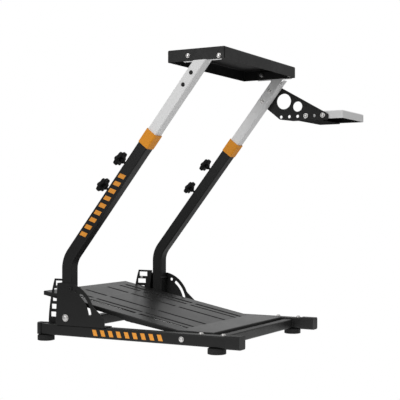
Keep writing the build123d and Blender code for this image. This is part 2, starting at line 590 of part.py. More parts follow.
def shifter_bracket():
    """Pierced gusset on the right inner tube's outer face, with a flange under the tray."""
    across = INNER_SIDE / 2 - INNER_CORNER
    top_along = GUSSET_AXIS / cos(LEAN)
    low_along = top_along - GUSSET_TUBE_DROP / sin(LEAN)
    rounds = [GUSSET_ROUND] * 2 + [GUSSET_TIP_ROUND] * 2 + [GUSSET_ROUND] * 3
    outline = rounded_face(
        rounds,
        on_incline(across, top_along), on_incline(-across, top_along),
        gusset_point(GUSSET_TIP, GUSSET_TIP_DROP), gusset_point(GUSSET_TIP, GUSSET_DEPTH),
        gusset_point(TRAY_BEHIND - SHELF_LEAD, GUSSET_DEPTH),
        on_incline(-GUSSET_HEEL, low_along), on_incline(across, low_along),
    )
    for behind, drop, radius in (BIG_HOLE, MEDIUM_HOLE):
        outline -= Pos(*gusset_point(behind, drop)) * Circle(radius)
    for hole in range(ROW_HOLES):
        outline -= Pos(*gusset_point(ROW_FIRST + hole * ROW_PITCH, ROW_DROP)) * Circle(ROW_RADIUS)
    plate = side_plate(outline, GUSSET_INNER, GUSSET_INNER + GUSSET_PLATE)
    bottom = gusset_point(TRAY_BEHIND, GUSSET_DEPTH)
    shelf = Pos(TRAY_INNER, *bottom) * Box(
        TRAY_WIDTH - SHELF_INSET, SHELF_DEPTH, GUSSET_PLATE, align=(Align.MIN, Align.MAX, Align.MIN)
    )
    return plate + shelf


def shifter_tray():
    """Folded tray, open underneath, bolted to the gusset by its side lip."""
    depth = TRAY_REAR - TRAY_FRONT
    centre = Pos(TRAY_INNER + TRAY_WIDTH / 2, -(TRAY_FRONT + TRAY_REAR) / 2)
    outer = centre * RectangleRounded(TRAY_WIDTH, depth, DECK_CORNER)
    hollow = centre * RectangleRounded(
        TRAY_WIDTH - 2 * TRAY_SHEET, depth - 2 * TRAY_SHEET, DECK_CORNER - TRAY_SHEET
    )
    tray = folded_tray(outer, hollow, TRAY_TOP, TRAY_LIP, TRAY_SHEET)
    for spot in GridLocations(TRAY_HOLES_X, TRAY_HOLES_Y, 2, 2):
        tray -= Pos(0, 0, TRAY_TOP) * centre * spot * Cylinder(TRAY_HOLE_RADIUS, TRAY_LIP)
    return tray


def pedal_height(y):
    """Height of the pedal plate's top at a place along Y."""
    rise = (PEDAL_FRONT_HEIGHT - PEDAL_FLAT_HEIGHT) / (PEDAL_FRONT + PEDAL_BEND)
    return PEDAL_FLAT_HEIGHT + max(y + PEDAL_BEND, 0) * rise


def pedal_line(depth):
    """The plate's side view as a line from front to rear, at a depth below its top."""
    return FilletPolyline(
        (PEDAL_FRONT, PEDAL_FRONT_HEIGHT - depth), (-PEDAL_BEND, PEDAL_FLAT_HEIGHT - depth),
        (-PEDAL_REAR, PEDAL_FLAT_HEIGHT - depth), radius=PEDAL_BEND_RADIUS + depth,
    )


def pedal_band(depth):
    """The plate's side view, a depth below its top all along."""
    top = pedal_line(0)
    under = pedal_line(depth)
    return make_face([top, Line(top @ 1, under @ 1), under, Line(under @ 0, top @ 0)])


def pedal_flange():
    """Side flange: a narrow band, a deeper stretch behind the bracket and a lug for the pivot bolt."""
    flange = pedal_band(PEDAL_FLANGE)
    full = -PEDAL_SKIRT_FRONT - PEDAL_SKIRT_SLOPE
    flange += face(
        (-PEDAL_SKIRT_FRONT, pedal_height(-PEDAL_SKIRT_FRONT) - PEDAL_SHEET),
        (-PEDAL_SKIRT_FRONT, pedal_height(-PEDAL_SKIRT_FRONT) - PEDAL_FLANGE),
        (full, pedal_height(full) - PEDAL_SKIRT), (-PEDAL_PIVOT, PEDAL_PIVOT_HEIGHT),
    )
    lug = face(
        (-PEDAL_PIVOT - PEDAL_LUG_HALF, PEDAL_FLAT_HEIGHT - PEDAL_SHEET),
        (-PEDAL_PIVOT + PEDAL_LUG_HALF, PEDAL_FLAT_HEIGHT - PEDAL_SHEET),
        (-PEDAL_PIVOT + PEDAL_LUG_RADIUS, PEDAL_PIVOT_HEIGHT),
        (-PEDAL_PIVOT - PEDAL_LUG_RADIUS, PEDAL_PIVOT_HEIGHT),
    )
    return flange + lug + Pos(-PEDAL_PIVOT, PEDAL_PIVOT_HEIGHT) * Circle(PEDAL_LUG_RADIUS)


def round_folds(block, half_width, depth, radius):
    """Rounds the two long edges along the block's top, at a depth below the plate's top."""
    def on_fold(edge):
        ends = (edge.position_at(0), edge.position_at(1))
        at_side = all(abs(abs(end.X) - half_width) < EDGE_MATCH for end in ends)
        at_top = all(abs(end.Z - pedal_height(end.Y) + depth) < EDGE_MATCH for end in ends)
        return at_side and at_top
    return fillet(block.edges().filter_by(on_fold), radius)


def pedal_plate():
    """Bent sheet with side flanges and lugs, slotted for pedal bolts."""
    block = side_plate(pedal_flange(), -PEDAL_HALF_WIDTH, PEDAL_HALF_WIDTH)
    block = round_folds(block, PEDAL_HALF_WIDTH, 0, PEDAL_CORNER)
    inside = PEDAL_HALF_WIDTH - PEDAL_SHEET
    ceiling = pedal_line(PEDAL_SHEET)
    under = Polyline(ceiling @ 1, (-PEDAL_REAR, 0), (PEDAL_FRONT, 0), ceiling @ 0)
    room = side_plate(make_face([ceiling, under]), -inside, inside)
    plate = block - round_folds(room, inside, PEDAL_SHEET, PEDAL_CORNER - PEDAL_SHEET)
    plate -= cross_hole(PEDAL_PIVOT, PEDAL_PIVOT_HEIGHT, PEDAL_BOLT_RADIUS + BOLT_CLEARANCE)
    for column, width in PEDAL_SLOT_COLUMNS:
        front = PEDAL_SLOT_FRONT
        for length in PEDAL_SLOT_LENGTHS:
            slot = extrude(Rot(Z=90) * SlotOverall(length, width), amount=THROUGH)
            for x in (-column, column):
                plate -= Pos(x, front - length / 2, 0) * slot
            front -= length + PEDAL_SLOT_GAP
    return plate


def both_sides(name, solid):
    """The left piece and its mirror image, under their own names."""
    return {f"left_{name}": solid, f"right_{name}": mirror(solid, about=Plane.YZ)}


def stand():
    """Every piece of the stand, by name."""
    pieces = {}
    pieces |= both_sides("rail", rail())
    pieces |= both_sides("front_plug", front_plug())
    pieces |= both_sides("rear_cap", rear_cap())
    pieces["front_cross_tube"] = cross_tube(
        RAIL_FRONT - FRONT_TUBE_DEPTH, RAIL_FRONT, RAIL_BOTTOM, RAIL_TOP
    )
    pieces["rear_cross_tube"] = cross_tube(
        -REAR_TUBE_BACK, -REAR_TUBE_BACK + REAR_TUBE_SIDE, RAIL_BOTTOM, RAIL_BOTTOM + REAR_TUBE_SIDE
    )
    pieces |= both_sides("front_foot", foot(FOOT_FRONT))
    pieces |= both_sides("rear_foot", foot(-FOOT_REAR))
    pieces |= both_sides("bracket", bracket())
    pieces |= both_sides("pivot_bolt", pivot_bolt())
    pieces |= both_sides("pedal_bolt", pedal_bolt())
    pieces["pedal_plate"] = pedal_plate()
    pieces |= both_sides("upright", upright())
    pieces |= both_sides("collar", collar())
    for level, along in zip(("lower", "upper"), KNOB_STATIONS):
        pieces |= both_sides(f"{level}_knob", knob(along))
    pieces |= both_sides("inner_tube", inner_tube())
    pieces |= both_sides("deck_arm", deck_arm())
    pieces |= both_sides("deck_pivot_bolt", deck_bolt(DECK_PIVOT, DECK_PIVOT_HEIGHT))
    pieces |= both_sides("deck_lock_bolt", deck_bolt(DECK_LOCK, DECK_LOCK_HEIGHT))
    pieces["wheel_deck"] = wheel_deck()
    pieces["shifter_bracket"] = shifter_bracket()
    pieces["shifter_tray"] = shifter_tray()
    return pieces


PIECES = stand()
EXTENT = Compound(list(PIECES.values())).bounding_box()
MIDDLE = ((EXTENT.min.X + EXTENT.max.X) / 2, (EXTENT.min.Y + EXTENT.max.Y) / 2)

# The origin is under the middle of the whole stand, on the floor.
os.makedirs("parts", exist_ok=True)
for node, solid in PIECES.items():
    export_step(Pos(-MIDDLE[0], -MIDDLE[1], 0) * solid, f"parts/{node}.step")
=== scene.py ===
# %% [markdown]
# # A folding racing wheel stand, dressed step by step
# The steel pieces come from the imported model, in metres, with +Z up and the driver seated at -Y.
# This lesson adds what a maker sees up close: powder coat, moulded plastic, bolts, knobs, welds
# and rubber feet. Each step says what the real piece is before the code makes it.

# %% Load the frame
import json
from math import cos, pi, radians, sin

import bmesh
import bpy
from mathutils import Matrix, Vector


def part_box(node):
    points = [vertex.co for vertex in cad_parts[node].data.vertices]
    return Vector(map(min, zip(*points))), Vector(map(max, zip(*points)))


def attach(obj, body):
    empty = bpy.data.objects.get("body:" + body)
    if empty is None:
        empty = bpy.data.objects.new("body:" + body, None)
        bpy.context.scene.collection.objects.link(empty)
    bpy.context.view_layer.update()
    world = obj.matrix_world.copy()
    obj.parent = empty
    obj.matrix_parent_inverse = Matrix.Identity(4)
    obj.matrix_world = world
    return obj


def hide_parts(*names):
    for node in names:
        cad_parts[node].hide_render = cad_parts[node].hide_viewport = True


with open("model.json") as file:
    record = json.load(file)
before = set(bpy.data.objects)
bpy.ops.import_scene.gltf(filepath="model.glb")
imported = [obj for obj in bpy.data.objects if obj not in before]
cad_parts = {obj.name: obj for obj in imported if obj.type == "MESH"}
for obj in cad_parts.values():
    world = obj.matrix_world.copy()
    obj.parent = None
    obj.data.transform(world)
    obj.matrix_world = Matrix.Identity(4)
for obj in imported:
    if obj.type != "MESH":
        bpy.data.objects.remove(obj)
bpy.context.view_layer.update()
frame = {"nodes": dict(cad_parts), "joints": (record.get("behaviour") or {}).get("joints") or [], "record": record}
print("loaded", len(frame["nodes"]), "steel and plastic pieces")

# %% [markdown]
# ## Where things are
# The joints of the model are the best landmarks: the bolt that an upright swings on, the bolt that
# the deck tilts on, and the direction in which the inner tubes slide. Everything below is measured
# from them or from a node's box, so a change of the steelwork carries the dressing along.

# %% Landmarks
MM = 0.001
LEFT, RIGHT = -1, 1
SIDES = {"left": LEFT, "right": RIGHT}
ALONG_X, ALONG_Z = Vector((1, 0, 0)), Vector((0, 0, 1))

joints = {joint["name"]: joint for joint in frame["joints"]}
upright_pivot = Vector(joints["upright_fold"]["pos_m"])
deck_pivot = Vector(joints["deck_tilt"]["pos_m"])
pedal_pivot = Vector(joints["pedal_tilt"]["pos_m"])
tube_up = Vector(joints["height_slide"]["axis"])
middle_x, axis_y = upright_pivot.x, upright_pivot.y
BEND_HEIGHT = 264       # where the centre lines of an upright's two straight parts cross


def at(x, y, z):
    """A place in millimetres: across from the middle, ahead of the uprights, above the floor."""
    return Vector((middle_x + x * MM, axis_y + y * MM, z * MM))


def face_x(node, side):
    """The outermost X of a node on that side of it."""
    low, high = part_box(node)
    return high.x if side > 0 else low.x


def in_scene(name, data):
    """A new object in the scene, from a mesh, a light or a camera."""
    made = bpy.data.objects.new(name, data)
    bpy.context.scene.collection.objects.link(made)
    return made


gap = face_x("right_upright", LEFT) - face_x("left_upright", RIGHT)
print("uprights stand", round(gap / MM), "mm apart")

# %% [markdown]
# ## Camera
# The photograph was taken from low down on the driver's left, with a long lens held level, so
# upright edges stay upright in the picture. The lens and the place were found from the vanishing
# points of the two rails and from the known spacing of the uprights.

# %% Camera
CAMERA_PLACE = (-2825.1, -1905.1, 437.2)
CAMERA_TURN = -60.8
LENS, SENSOR = 88.2, 36.0
HORIZON_SHIFT = 0.015
VIEW_DEPTH = 200        # metres

lens = bpy.data.cameras.new("photo_camera")
lens.lens = LENS
lens.sensor_width = SENSOR
lens.shift_y = HORIZON_SHIFT
lens.clip_end = VIEW_DEPTH
camera = in_scene("photo_camera", lens)
camera.location = at(*CAMERA_PLACE)
camera.rotation_euler = (radians(90), 0, radians(CAMERA_TURN))
bpy.context.scene.camera = camera
bpy.context.scene.view_settings.view_transform = "Standard"
print("camera at", tuple(round(value, 3) for value in camera.location))

# %% [markdown]
# ## Node helpers
# Shader trees and geometry trees are both made of nodes and links. Small helpers keep the
# recipes below short: one adds a node with its settings, values and links, one makes a group with
# named sockets, and the rest are shorthands for kinds of node that are needed often.

# %% Node helpers
MIX_FIRST, MIX_SECOND, MIX_RESULT = 6, 7, 2     # the sockets of a Mix node that are colours
SOCKET_KINDS = {bool: "Bool", int: "Int", float: "Float"}


def add(tree, kind, values=None, **settings):
    """A node of that kind; values go to its inputs, and a socket given as a value is linked."""
    node = tree.nodes.new(kind)
    for name, setting in settings.items():
        setattr(node, name, setting)
    for key, value in (values or {}).items():
        if isinstance(value, bpy.types.NodeSocket):
            tree.links.new(value, node.inputs[key])
        else:
            node.inputs[key].default_value = value
    return node


def maths_in(tree):
    """A shorthand for Math nodes in that tree: an operation, then its numbers or sockets."""
    def maths(operation, *values):
        node = add(tree, "ShaderNodeMath", dict(enumerate(values)), operation=operation)
        return node.outputs["Value"]
    return maths


def vector_maths(tree, operation, first, second):
    """The outputs of a Vector Math node."""
    return add(tree, "ShaderNodeVectorMath", {0: first, 1: second}, operation=operation).outputs


def split(tree, vector):
    """The X, Y and Z outputs of a vector."""
    return add(tree, "ShaderNodeSeparateXYZ", {"Vector": vector}).outputs


def ramp(tree, value, start, end, low=0.0, high=1.0, kind="LINEAR"):
    """Goes from low to high while the value goes from start to end, and no further."""
    node = add(tree, "ShaderNodeMapRange", {
        "Value": value, "From Min": start, "From Max": end, "To Min": low, "To Max": high,
    }, interpolation_type=kind)
    return node.outputs["Result"]


def fade(tree, value, start, end, full=1.0):
    """Falls softly from full to nothing while the value goes from start to end."""
    return ramp(tree, value, start, end, low=full, high=0.0, kind="SMOOTHSTEP")


def mix_colours(tree, factor, first, second):
    """Runs from the first colour to the second."""
    values = {"Factor": factor, MIX_FIRST: first, MIX_SECOND: second}
    return add(tree, "ShaderNodeMix", values, data_type="RGBA").outputs[MIX_RESULT]


def mix_values(tree, factor, first, second):
    """Runs from the first number to the second."""
    values = {"Factor": factor, "A": first, "B": second}
    return add(tree, "ShaderNodeMix", values, data_type="FLOAT").outputs["Result"]


def own_place(tree):
    """The place on the piece, in its own coordinates."""
    return add(tree, "ShaderNodeTexCoord").outputs["Object"]


def new_group(name, kind, inputs, outputs):
    """A node group with named sockets; gives the group, its inputs and its output node.

    Each input has a first value, or None where its name is its kind; each output has a kind.
    """
    group = bpy.data.node_groups.new(name, kind)
    for label, value in inputs.items():
        socket = SOCKET_KINDS.get(type(value), label)
        made = group.interface.new_socket(label, in_out="INPUT", socket_type="NodeSocket" + socket)
        if value is not None:
            made.default_value = value
    for label, socket in outputs.items():
        group.interface.new_socket(label, in_out="OUTPUT", socket_type="NodeSocket" + socket)
    source = group.nodes.new("NodeGroupInput")
    return group, source.outputs, group.nodes.new("NodeGroupOutput")


print("node helpers ready")

# %% [markdown]
# ## Shared surface effects
# Powder coat is sprayed as dust and baked until it flows, which leaves a fine orange-peel grain
# and slow, faint changes in tone. Moulded plastic has a finer grain of the same kind. Both have
# slightly round edges, and hands and shoes rub them glossier in patches. These effects are groups,
# so each finish sets its own sizes.
# The round edges use a Bevel node: it looks at the neighbouring faces and bends the normal there.

# %% Shared surface effects
def noise(tree, scale, detail, **more):
    """Noise on the piece's own coordinates."""
    values = {"Vector": own_place(tree), "Scale": scale, "Detail": detail, **more}
    return add(tree, "ShaderNodeTexNoise", values).outputs["Fac"]


def grain_group():
    """Fine grain for the bump and slow mottle for the tone."""
    group, given, out = new_group(
        "coat_grain", "ShaderNodeTree", {"Grain Scale": 900.0, "Mottle Scale": 14.0},
        {"Grain": "Float", "Mottle": "Float"})
    grain = noise(group, given["Grain Scale"], detail=2.0, Roughness=0.55)
    mottle = noise(group, given["Mottle Scale"], detail=4.0, Roughness=0.6)
    group.links.new(grain, out.inputs["Grain"])
    group.links.new(mottle, out.inputs["Mottle"])
    return group


def edge_group():
    """A normal that rounds the edges, and a mask that is bright along them."""
    group, given, out = new_group(
        "soft_edges", "ShaderNodeTree", {"Radius": 0.0008}, {"Normal": "Vector", "Edge": "Float"})
    bent = add(group, "ShaderNodeBevel", {"Radius": given["Radius"]}, samples=6).outputs["Normal"]
    flat = add(group, "ShaderNodeNewGeometry").outputs["Normal"]
    facing = vector_maths(group, "DOT_PRODUCT", bent, flat)["Value"]
    group.links.new(bent, out.inputs["Normal"])
    group.links.new(ramp(group, facing, start=1.0, end=0.75), out.inputs["Edge"])
    return group


def smudge_group():
    """Blurry patches where hands and shoes have rubbed, from two noises multiplied."""
    group, given, out = new_group(
        "rubbed_patches", "ShaderNodeTree", {"Patch Scale": 9.0, "Streak Scale": 60.0},
        {"Rubbed": "Float"})
    patch = noise(group, given["Patch Scale"], detail=3.0)
    streak = noise(group, given["Streak Scale"], detail=5.0, Distortion=0.6)
    both = maths_in(group)("MULTIPLY", patch, streak)
    group.links.new(ramp(group, both, start=0.18, end=0.38), out.inputs["Rubbed"])
    return group


coat_grain, soft_edges, rubbed_patches = grain_group(), edge_group(), smudge_group()
print("shared effects:", coat_grain.name, soft_edges.name, rubbed_patches.name)

# %% [markdown]
# ## Finishes
# Every finish is one Principled shader. Its colour and roughness run between two values, led by
# the mottle and by the rubbed patches, and the grain goes to a Bump node on top of the rounded
# edges. Along the edges the colour turns lighter, as a painted highlight. What never changes over
# the surface is set on the shader itself.

# %% Finishes
GRAIN_DEPTH = 0.25      # height of the grain as a share of its size


def finish(name, colours, roughness, grain, bump, edge_radius=0.8, edge_highlight_colour=None, metallic=0.0,
           specular=0.5, second=None):
    """A coated or moulded finish. Sizes are in millimetres; colours and roughness are (low, high).

    Second is (mask, colour, roughness) for the part of the surface that a mask picks out.
    """
    grain_size, mottle_size = grain
    material = bpy.data.materials.new(name)
    material.use_nodes = True
    tree = material.node_tree
    shader = tree.nodes["Principled BSDF"]
    shader.inputs["Metallic"].default_value = metallic
    shader.inputs["Specular IOR Level"].default_value = specular
    coat = add(tree, "ShaderNodeGroup", {
        "Grain Scale": 1 / (grain_size * MM), "Mottle Scale": 1 / (mottle_size * MM),
    }, node_tree=coat_grain).outputs
    edges = add(tree, "ShaderNodeGroup", {"Radius": edge_radius * MM}, node_tree=soft_edges).outputs
    rubbed = add(tree, "ShaderNodeGroup", node_tree=rubbed_patches).outputs["Rubbed"]
    tone = mix_colours(tree, coat["Mottle"], (*colours[0], 1), (*colours[1], 1))
    # The edge mask blends in a lighter colour: a painted highlight along the rounded edges.
    colour = mix_colours(tree, edges["Edge"], tone, (*(edge_highlight_colour or colours[1]), 1))
    dullness = ramp(tree, rubbed, 0.0, 1.0, low=roughness[1], high=roughness[0])
    relief = add(tree, "ShaderNodeBump", {
        "Strength": bump, "Distance": grain_size * MM * GRAIN_DEPTH,
        "Height": coat["Grain"], "Normal": edges["Normal"],
    })
    if second:
        mask, other_colour, other_dullness = second
        chosen = mask(tree)
        colour = mix_colours(tree, chosen, colour, (*other_colour, 1))
        dullness = mix_values(tree, chosen, dullness, other_dullness)
    tree.links.new(colour, shader.inputs["Base Color"])
    tree.links.new(dullness, shader.inputs["Roughness"])
    tree.links.new(relief.outputs["Normal"], shader.inputs["Normal"])
    return material


def grey(value, warm=0.0):
    """A nearly neutral colour; warm moves it slightly towards red."""
    return (value * (1 + warm), value, value * (1 - warm))


print("recipe for finishes ready")

# %% [markdown]
# ## Painted shade on parts of a piece
# Some pieces get painted shade where they lie in shadow: the silver tray's hollow underside is
# painted black, the arms are painted black inside the deck, the shifter bracket is painted darker
# where its faces look down, and the pedal plate is painted darker along its slots, where its coat
# is also duller. Such a piece could be cut in two, but a mask is simpler: from the place or the
# direction of a face it works out where the painted shade goes.

# %% Painted shade on parts of a piece
FACING_DOWN = -0.7      # Z of the normal, under which a face counts as looking down


def underside(tree):
    """Picks out faces that look down, where painted shade goes."""
    normal = add(tree, "ShaderNodeNewGeometry").outputs["True Normal"]
    return maths_in(tree)("LESS_THAN", split(tree, normal)["Z"], FACING_DOWN)


def arm_shade_inside_deck(tree):
    """Picks out what stands above the lower edge of the wheel deck's walls, for painted shade."""
    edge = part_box("wheel_deck")[0].z
    return maths_in(tree)("GREATER_THAN", split(tree, own_place(tree))["Z"], edge)


def measured_from(tree, middle):
    """The X, Y and Z outputs of the place on the piece, measured from a point."""
    return split(tree, vector_maths(tree, "SUBTRACT", own_place(tree), middle)["Vector"])


# The tray's hollow underside is painted black as shade; a thin skin of its sheet stays silver.
TRAY_SKIN = 1.5         # silver outside of the tray's sheet


def tray_hollow_shade(tree):
    """Picks out the hollow underside of the shifter tray, within its lips, where painted shade goes."""
    maths = maths_in(tree)
    low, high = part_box("shifter_tray")
    skin = TRAY_SKIN * MM
    low, high = low + Vector((skin, skin, -skin)), high - Vector((skin, skin, skin))
    middle, reach = (low + high) / 2, (high - low) / 2
    place = measured_from(tree, middle)
    chosen = 1.0
    for axis, limit in zip("XYZ", reach):
        chosen = maths("MULTIPLY", maths("COMPARE", place[axis], 0.0, limit), chosen)
    return chosen


# Along its slots the pedal plate gets painted shade: a darker colour, with a duller coat.
SLOT_COLUMNS = ((66, 2.5), (145, 2.5), (183, 4.5))  # each side of the middle, half width
SLOT_ROWS = ((0, 88), (-192, -14), (-384, -206))    # rear and front end, ahead of the uprights
SLOT_SHADE_WIDTH = 8           # width of the dull edge round a slot


def slot_shade_strips(tree):
    """Picks out a soft strip along the pedal plate's slots, for painted shade and a duller coat."""
    maths = maths_in(tree)
    place = measured_from(tree, at(0, 0, 0))
    across = maths("ABSOLUTE", place["X"])
    strips, rows = 0.0, 0.0
    for column, half in SLOT_COLUMNS:
        gap = maths("ABSOLUTE", maths("SUBTRACT", across, column * MM))
        strip = fade(tree, gap, half * MM, (half + SLOT_SHADE_WIDTH) * MM)
        strips = maths("MAXIMUM", strip, strips)
    for rear, front in SLOT_ROWS:
        inside = maths("COMPARE", place["Y"], (rear + front) / 2 * MM, (front - rear) / 2 * MM)
        rows = maths("MAXIMUM", inside, rows)
    return maths("MULTIPLY", strips, rows)


print("masks for undersides, arms, tray and slots")

# %% [markdown]
# ## The stand's own finishes
# The frame is black, the sliding parts and the tray are silver, and the collars are orange plastic.
# Values were chosen by holding renders against the photograph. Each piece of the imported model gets
# the finish of its material, unless it is listed by its own name.

# %% The stand's own finishes
SILVER = grey(0.86), grey(0.90)
BLACK = grey(0.010), grey(0.014)
BLACK_COAT = {"roughness": (0.34, 0.42), "grain": (0.9, 70), "bump": 0.2, "edge_highlight_colour": grey(0.03),
              "specular": 0.23}
SILVER_COAT = {"roughness": (0.36, 0.42), "grain": (0.8, 120), "bump": 0.06,
               "edge_highlight_colour": grey(0.92)}
black_powder = finish("black_powder_coat", BLACK, **BLACK_COAT)
# The shifter bracket gets painted shade: darker where its faces look down.
bracket_powder = finish(
    "shifter_bracket_powder_coat", BLACK, **BLACK_COAT, second=(underside, grey(0.008), 0.2))
# The pedal plate is painted darker along its slots, as painted shade, and its coat is duller there.
plate_powder = finish(
    "pedal_plate_powder_coat", (grey(0.012), grey(0.017)), roughness=(0.31, 0.35), grain=(0.9, 90),
    bump=0.12, edge_highlight_colour=grey(0.03), specular=0.3, second=(slot_shade_strips, grey(0.008), 0.85))
silver_powder = finish("silver_powder_coat", SILVER, **SILVER_COAT)
# Inside the deck the silver arms are painted black: painted shade of the deck over them.
arm_powder = finish(
    "deck_arm_powder_coat", SILVER, **SILVER_COAT, second=(arm_shade_inside_deck, grey(0.012), 0.4))
# The silver tray gets painted shade: black in its hollow underside.
tray_powder = finish(
    "tray_powder_coat", SILVER, **SILVER_COAT, second=(tray_hollow_shade, grey(0.008), 0.4))
orange_plastic = finish(
    "orange_moulded_plastic", ((0.83, 0.31, 0.016), (0.88, 0.34, 0.02)), roughness=(0.36, 0.44),
    grain=(0.5, 60), bump=0.05, edge_highlight_colour=(0.88, 0.36, 0.04), specular=0.25)
black_plastic = finish(
    "black_moulded_plastic", (grey(0.012), grey(0.016)), roughness=(0.42, 0.52), grain=(0.6, 30),
    bump=0.2, edge_highlight_colour=grey(0.02), specular=0.22)
knob_plastic = finish(
    "knob_moulded_plastic", (grey(0.005), grey(0.008)), roughness=(0.45, 0.55), grain=(0.6, 30),
    bump=0.2, edge_highlight_colour=grey(0.012), specular=0.14)
rubber = finish(
    "foot_rubber", (grey(0.012), grey(0.018)), roughness=(0.6, 0.75), grain=(0.7, 25), bump=0.4,
    edge_highlight_colour=grey(0.025), specular=0.25)
zinc = finish(
    "zinc_plating", (grey(0.60, 0.01), grey(0.72, 0.02)), roughness=(0.26, 0.4), grain=(0.5, 12),
    bump=0.1, edge_radius=0.3, edge_highlight_colour=grey(0.85), metallic=1.0)
stripe_paint = finish(
    "orange_stripe_film", ((0.80, 0.30, 0.02), (0.86, 0.34, 0.03)), roughness=(0.35, 0.45),
    grain=(0.6, 40), bump=0.08, edge_radius=0.05)
SLOT_FINISH = {
    "black_paint": black_powder, "silver_paint": silver_powder, "orange_plastic": orange_plastic,
    "black_plastic": black_plastic, "rubber": rubber, "zinc_steel": zinc,
}
NODE_FINISH = {
    "pedal_plate": plate_powder, "shifter_tray": tray_powder,
    "left_deck_arm": arm_powder, "right_deck_arm": arm_powder, "shifter_bracket": bracket_powder,
}
for part in frame["record"]["subparts"]:
    material = NODE_FINISH.get(part["node"], SLOT_FINISH[part["material_slot"]])
    slots = frame["nodes"][part["node"]].data.materials
    slots.clear()
    slots.append(material)

# %% [markdown]
# ## Growing meshes with Geometry Nodes
# Bolts, knobs, weld beads and stripes repeat, so each is a small tree of nodes with named sizes. A
# seed mesh holds the places. Once the tree has run, its result is read back as a plain mesh.

# %% Growing meshes
SMOOTH_ANGLE = 32


def geometry_group(name, sizes):
    """A geometry group that takes a seed mesh, sizes and a material, and gives a mesh."""
    inputs = {"Geometry": None, **sizes, "Material": None}
    return new_group(name, "GeometryNodeTree", inputs, {"Geometry": "Geometry"})


def seed_points(places, edges=()):
    """A bare mesh of points, each with the direction that it faces."""
    mesh = bpy.data.meshes.new("seed")
    mesh.from_pydata([place for place, facing in places], list(edges), [])
    facing = mesh.attributes.new("facing", "FLOAT_VECTOR", "POINT")
    for index, (place, direction) in enumerate(places):
        facing.data[index].vector = direction
    return mesh


def joined(tree, *meshes):
    """Several meshes as one."""
    node = add(tree, "GeometryNodeJoinGeometry")
    for mesh in meshes:
        tree.links.new(mesh, node.inputs["Geometry"])
    return node.outputs["Geometry"]


def on_points(tree, points, shape, direction):
    """Copies of a shape on points, with the shape's Z turned to the direction there."""
    turn = add(tree, "FunctionNodeAlignRotationToVector", {"Vector": direction}, axis="Z")
    return add(tree, "GeometryNodeInstanceOnPoints", {
        "Points": points, "Instance": shape, "Rotation": turn.outputs["Rotation"],
    })


def on_seed_points(tree, given, shape):
    """Copies of a shape on the seed mesh's points, turned the way that each point faces."""
    facing = add(
        tree, "GeometryNodeInputNamedAttribute", {"Name": "facing"}, data_type="FLOAT_VECTOR")
    return on_points(tree, given["Geometry"], shape, facing.outputs["Attribute"])


def end_tree(tree, given, out, placed):
    """Ends a geometry tree: the copies are made real, painted and put out."""
    real = add(tree, "GeometryNodeRealizeInstances", {"Geometry": placed.outputs["Instances"]})
    painted = add(tree, "GeometryNodeSetMaterial", {
        "Geometry": real.outputs["Geometry"], "Material": given["Material"],
    })
    tree.links.new(painted.outputs["Geometry"], out.inputs["Geometry"])
    return tree


def smooth(mesh):
    """Smooth shading, with sharp edges where faces meet at more than a small angle."""
    mesh.shade_smooth()
    mesh.set_sharp_from_angle(angle=radians(SMOOTH_ANGLE))
    return mesh


def grow(tree, seed, values):
    """The plain mesh that a geometry tree makes from a seed mesh and named values."""
    holder = in_scene("seed", seed)
    modifier = holder.modifiers.new("grow", "NODES")
    modifier.node_group = tree
    for item in tree.interface.items_tree:
        if item.in_out == "INPUT" and item.name in values:
            modifier[item.identifier] = values[item.name]
    ready = bpy.context.evaluated_depsgraph_get()
    mesh = bpy.data.meshes.new_from_object(holder.evaluated_get(ready), depsgraph=ready)
    bpy.data.objects.remove(holder)
    return smooth(mesh)


def mesh_of(name, shape, material):
    """The finished mesh of a closed bmesh, with its faces turned outwards."""
    bmesh.ops.recalc_face_normals(shape, faces=shape.faces)
    mesh = bpy.data.meshes.new(name)
    shape.to_mesh(mesh)
    shape.free()
    mesh.materials.append(material)
    return smooth(mesh)


def piece(name, meshes, body):
    """One object from several meshes of one material, riding on a body."""
    whole = bmesh.new()
    for mesh in meshes:
        whole.from_mesh(mesh)
    for polygon in whole.faces:
        polygon.material_index = 0
    joined = bpy.data.meshes.new(name)
    whole.to_mesh(joined)
    whole.free()
    joined.materials.append(meshes[0].materials[-1])
    made = in_scene(name, joined)
    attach(made, body)
    return made


def count(made):
    """Triangles of a piece, for the printed notes."""
    return sum(len(polygon.vertices) - 2 for polygon in made.data.polygons)


print("ready to grow meshes")

# %% [markdown]
# ## Bolts
# The stand is held together by zinc plated button-head bolts: a washer, a low domed head with a
# hexagon socket, a shank and a nut with its own washer. Each could be modelled by hand, but one
# tree with the sizes as inputs makes them all. The dome is a cylinder whose top is drawn in twice,
# and the socket is cut with a Boolean.

# %% Bolt tree
ROUND_SIDES, HEX_SIDES = 28, 6
DOME_STEPS = ((0.3, 0.88), (0.2, 0.72))     # rise in head heights, scale of the raised face
SOCKET_TOP = 1.2        # the cutter's end, as a share of the head's height
PAST_NUT = 0.4          # of the shank, as a share of the nut's height
NUT_RATIO = 1.85        # the nut's radius over the shank's


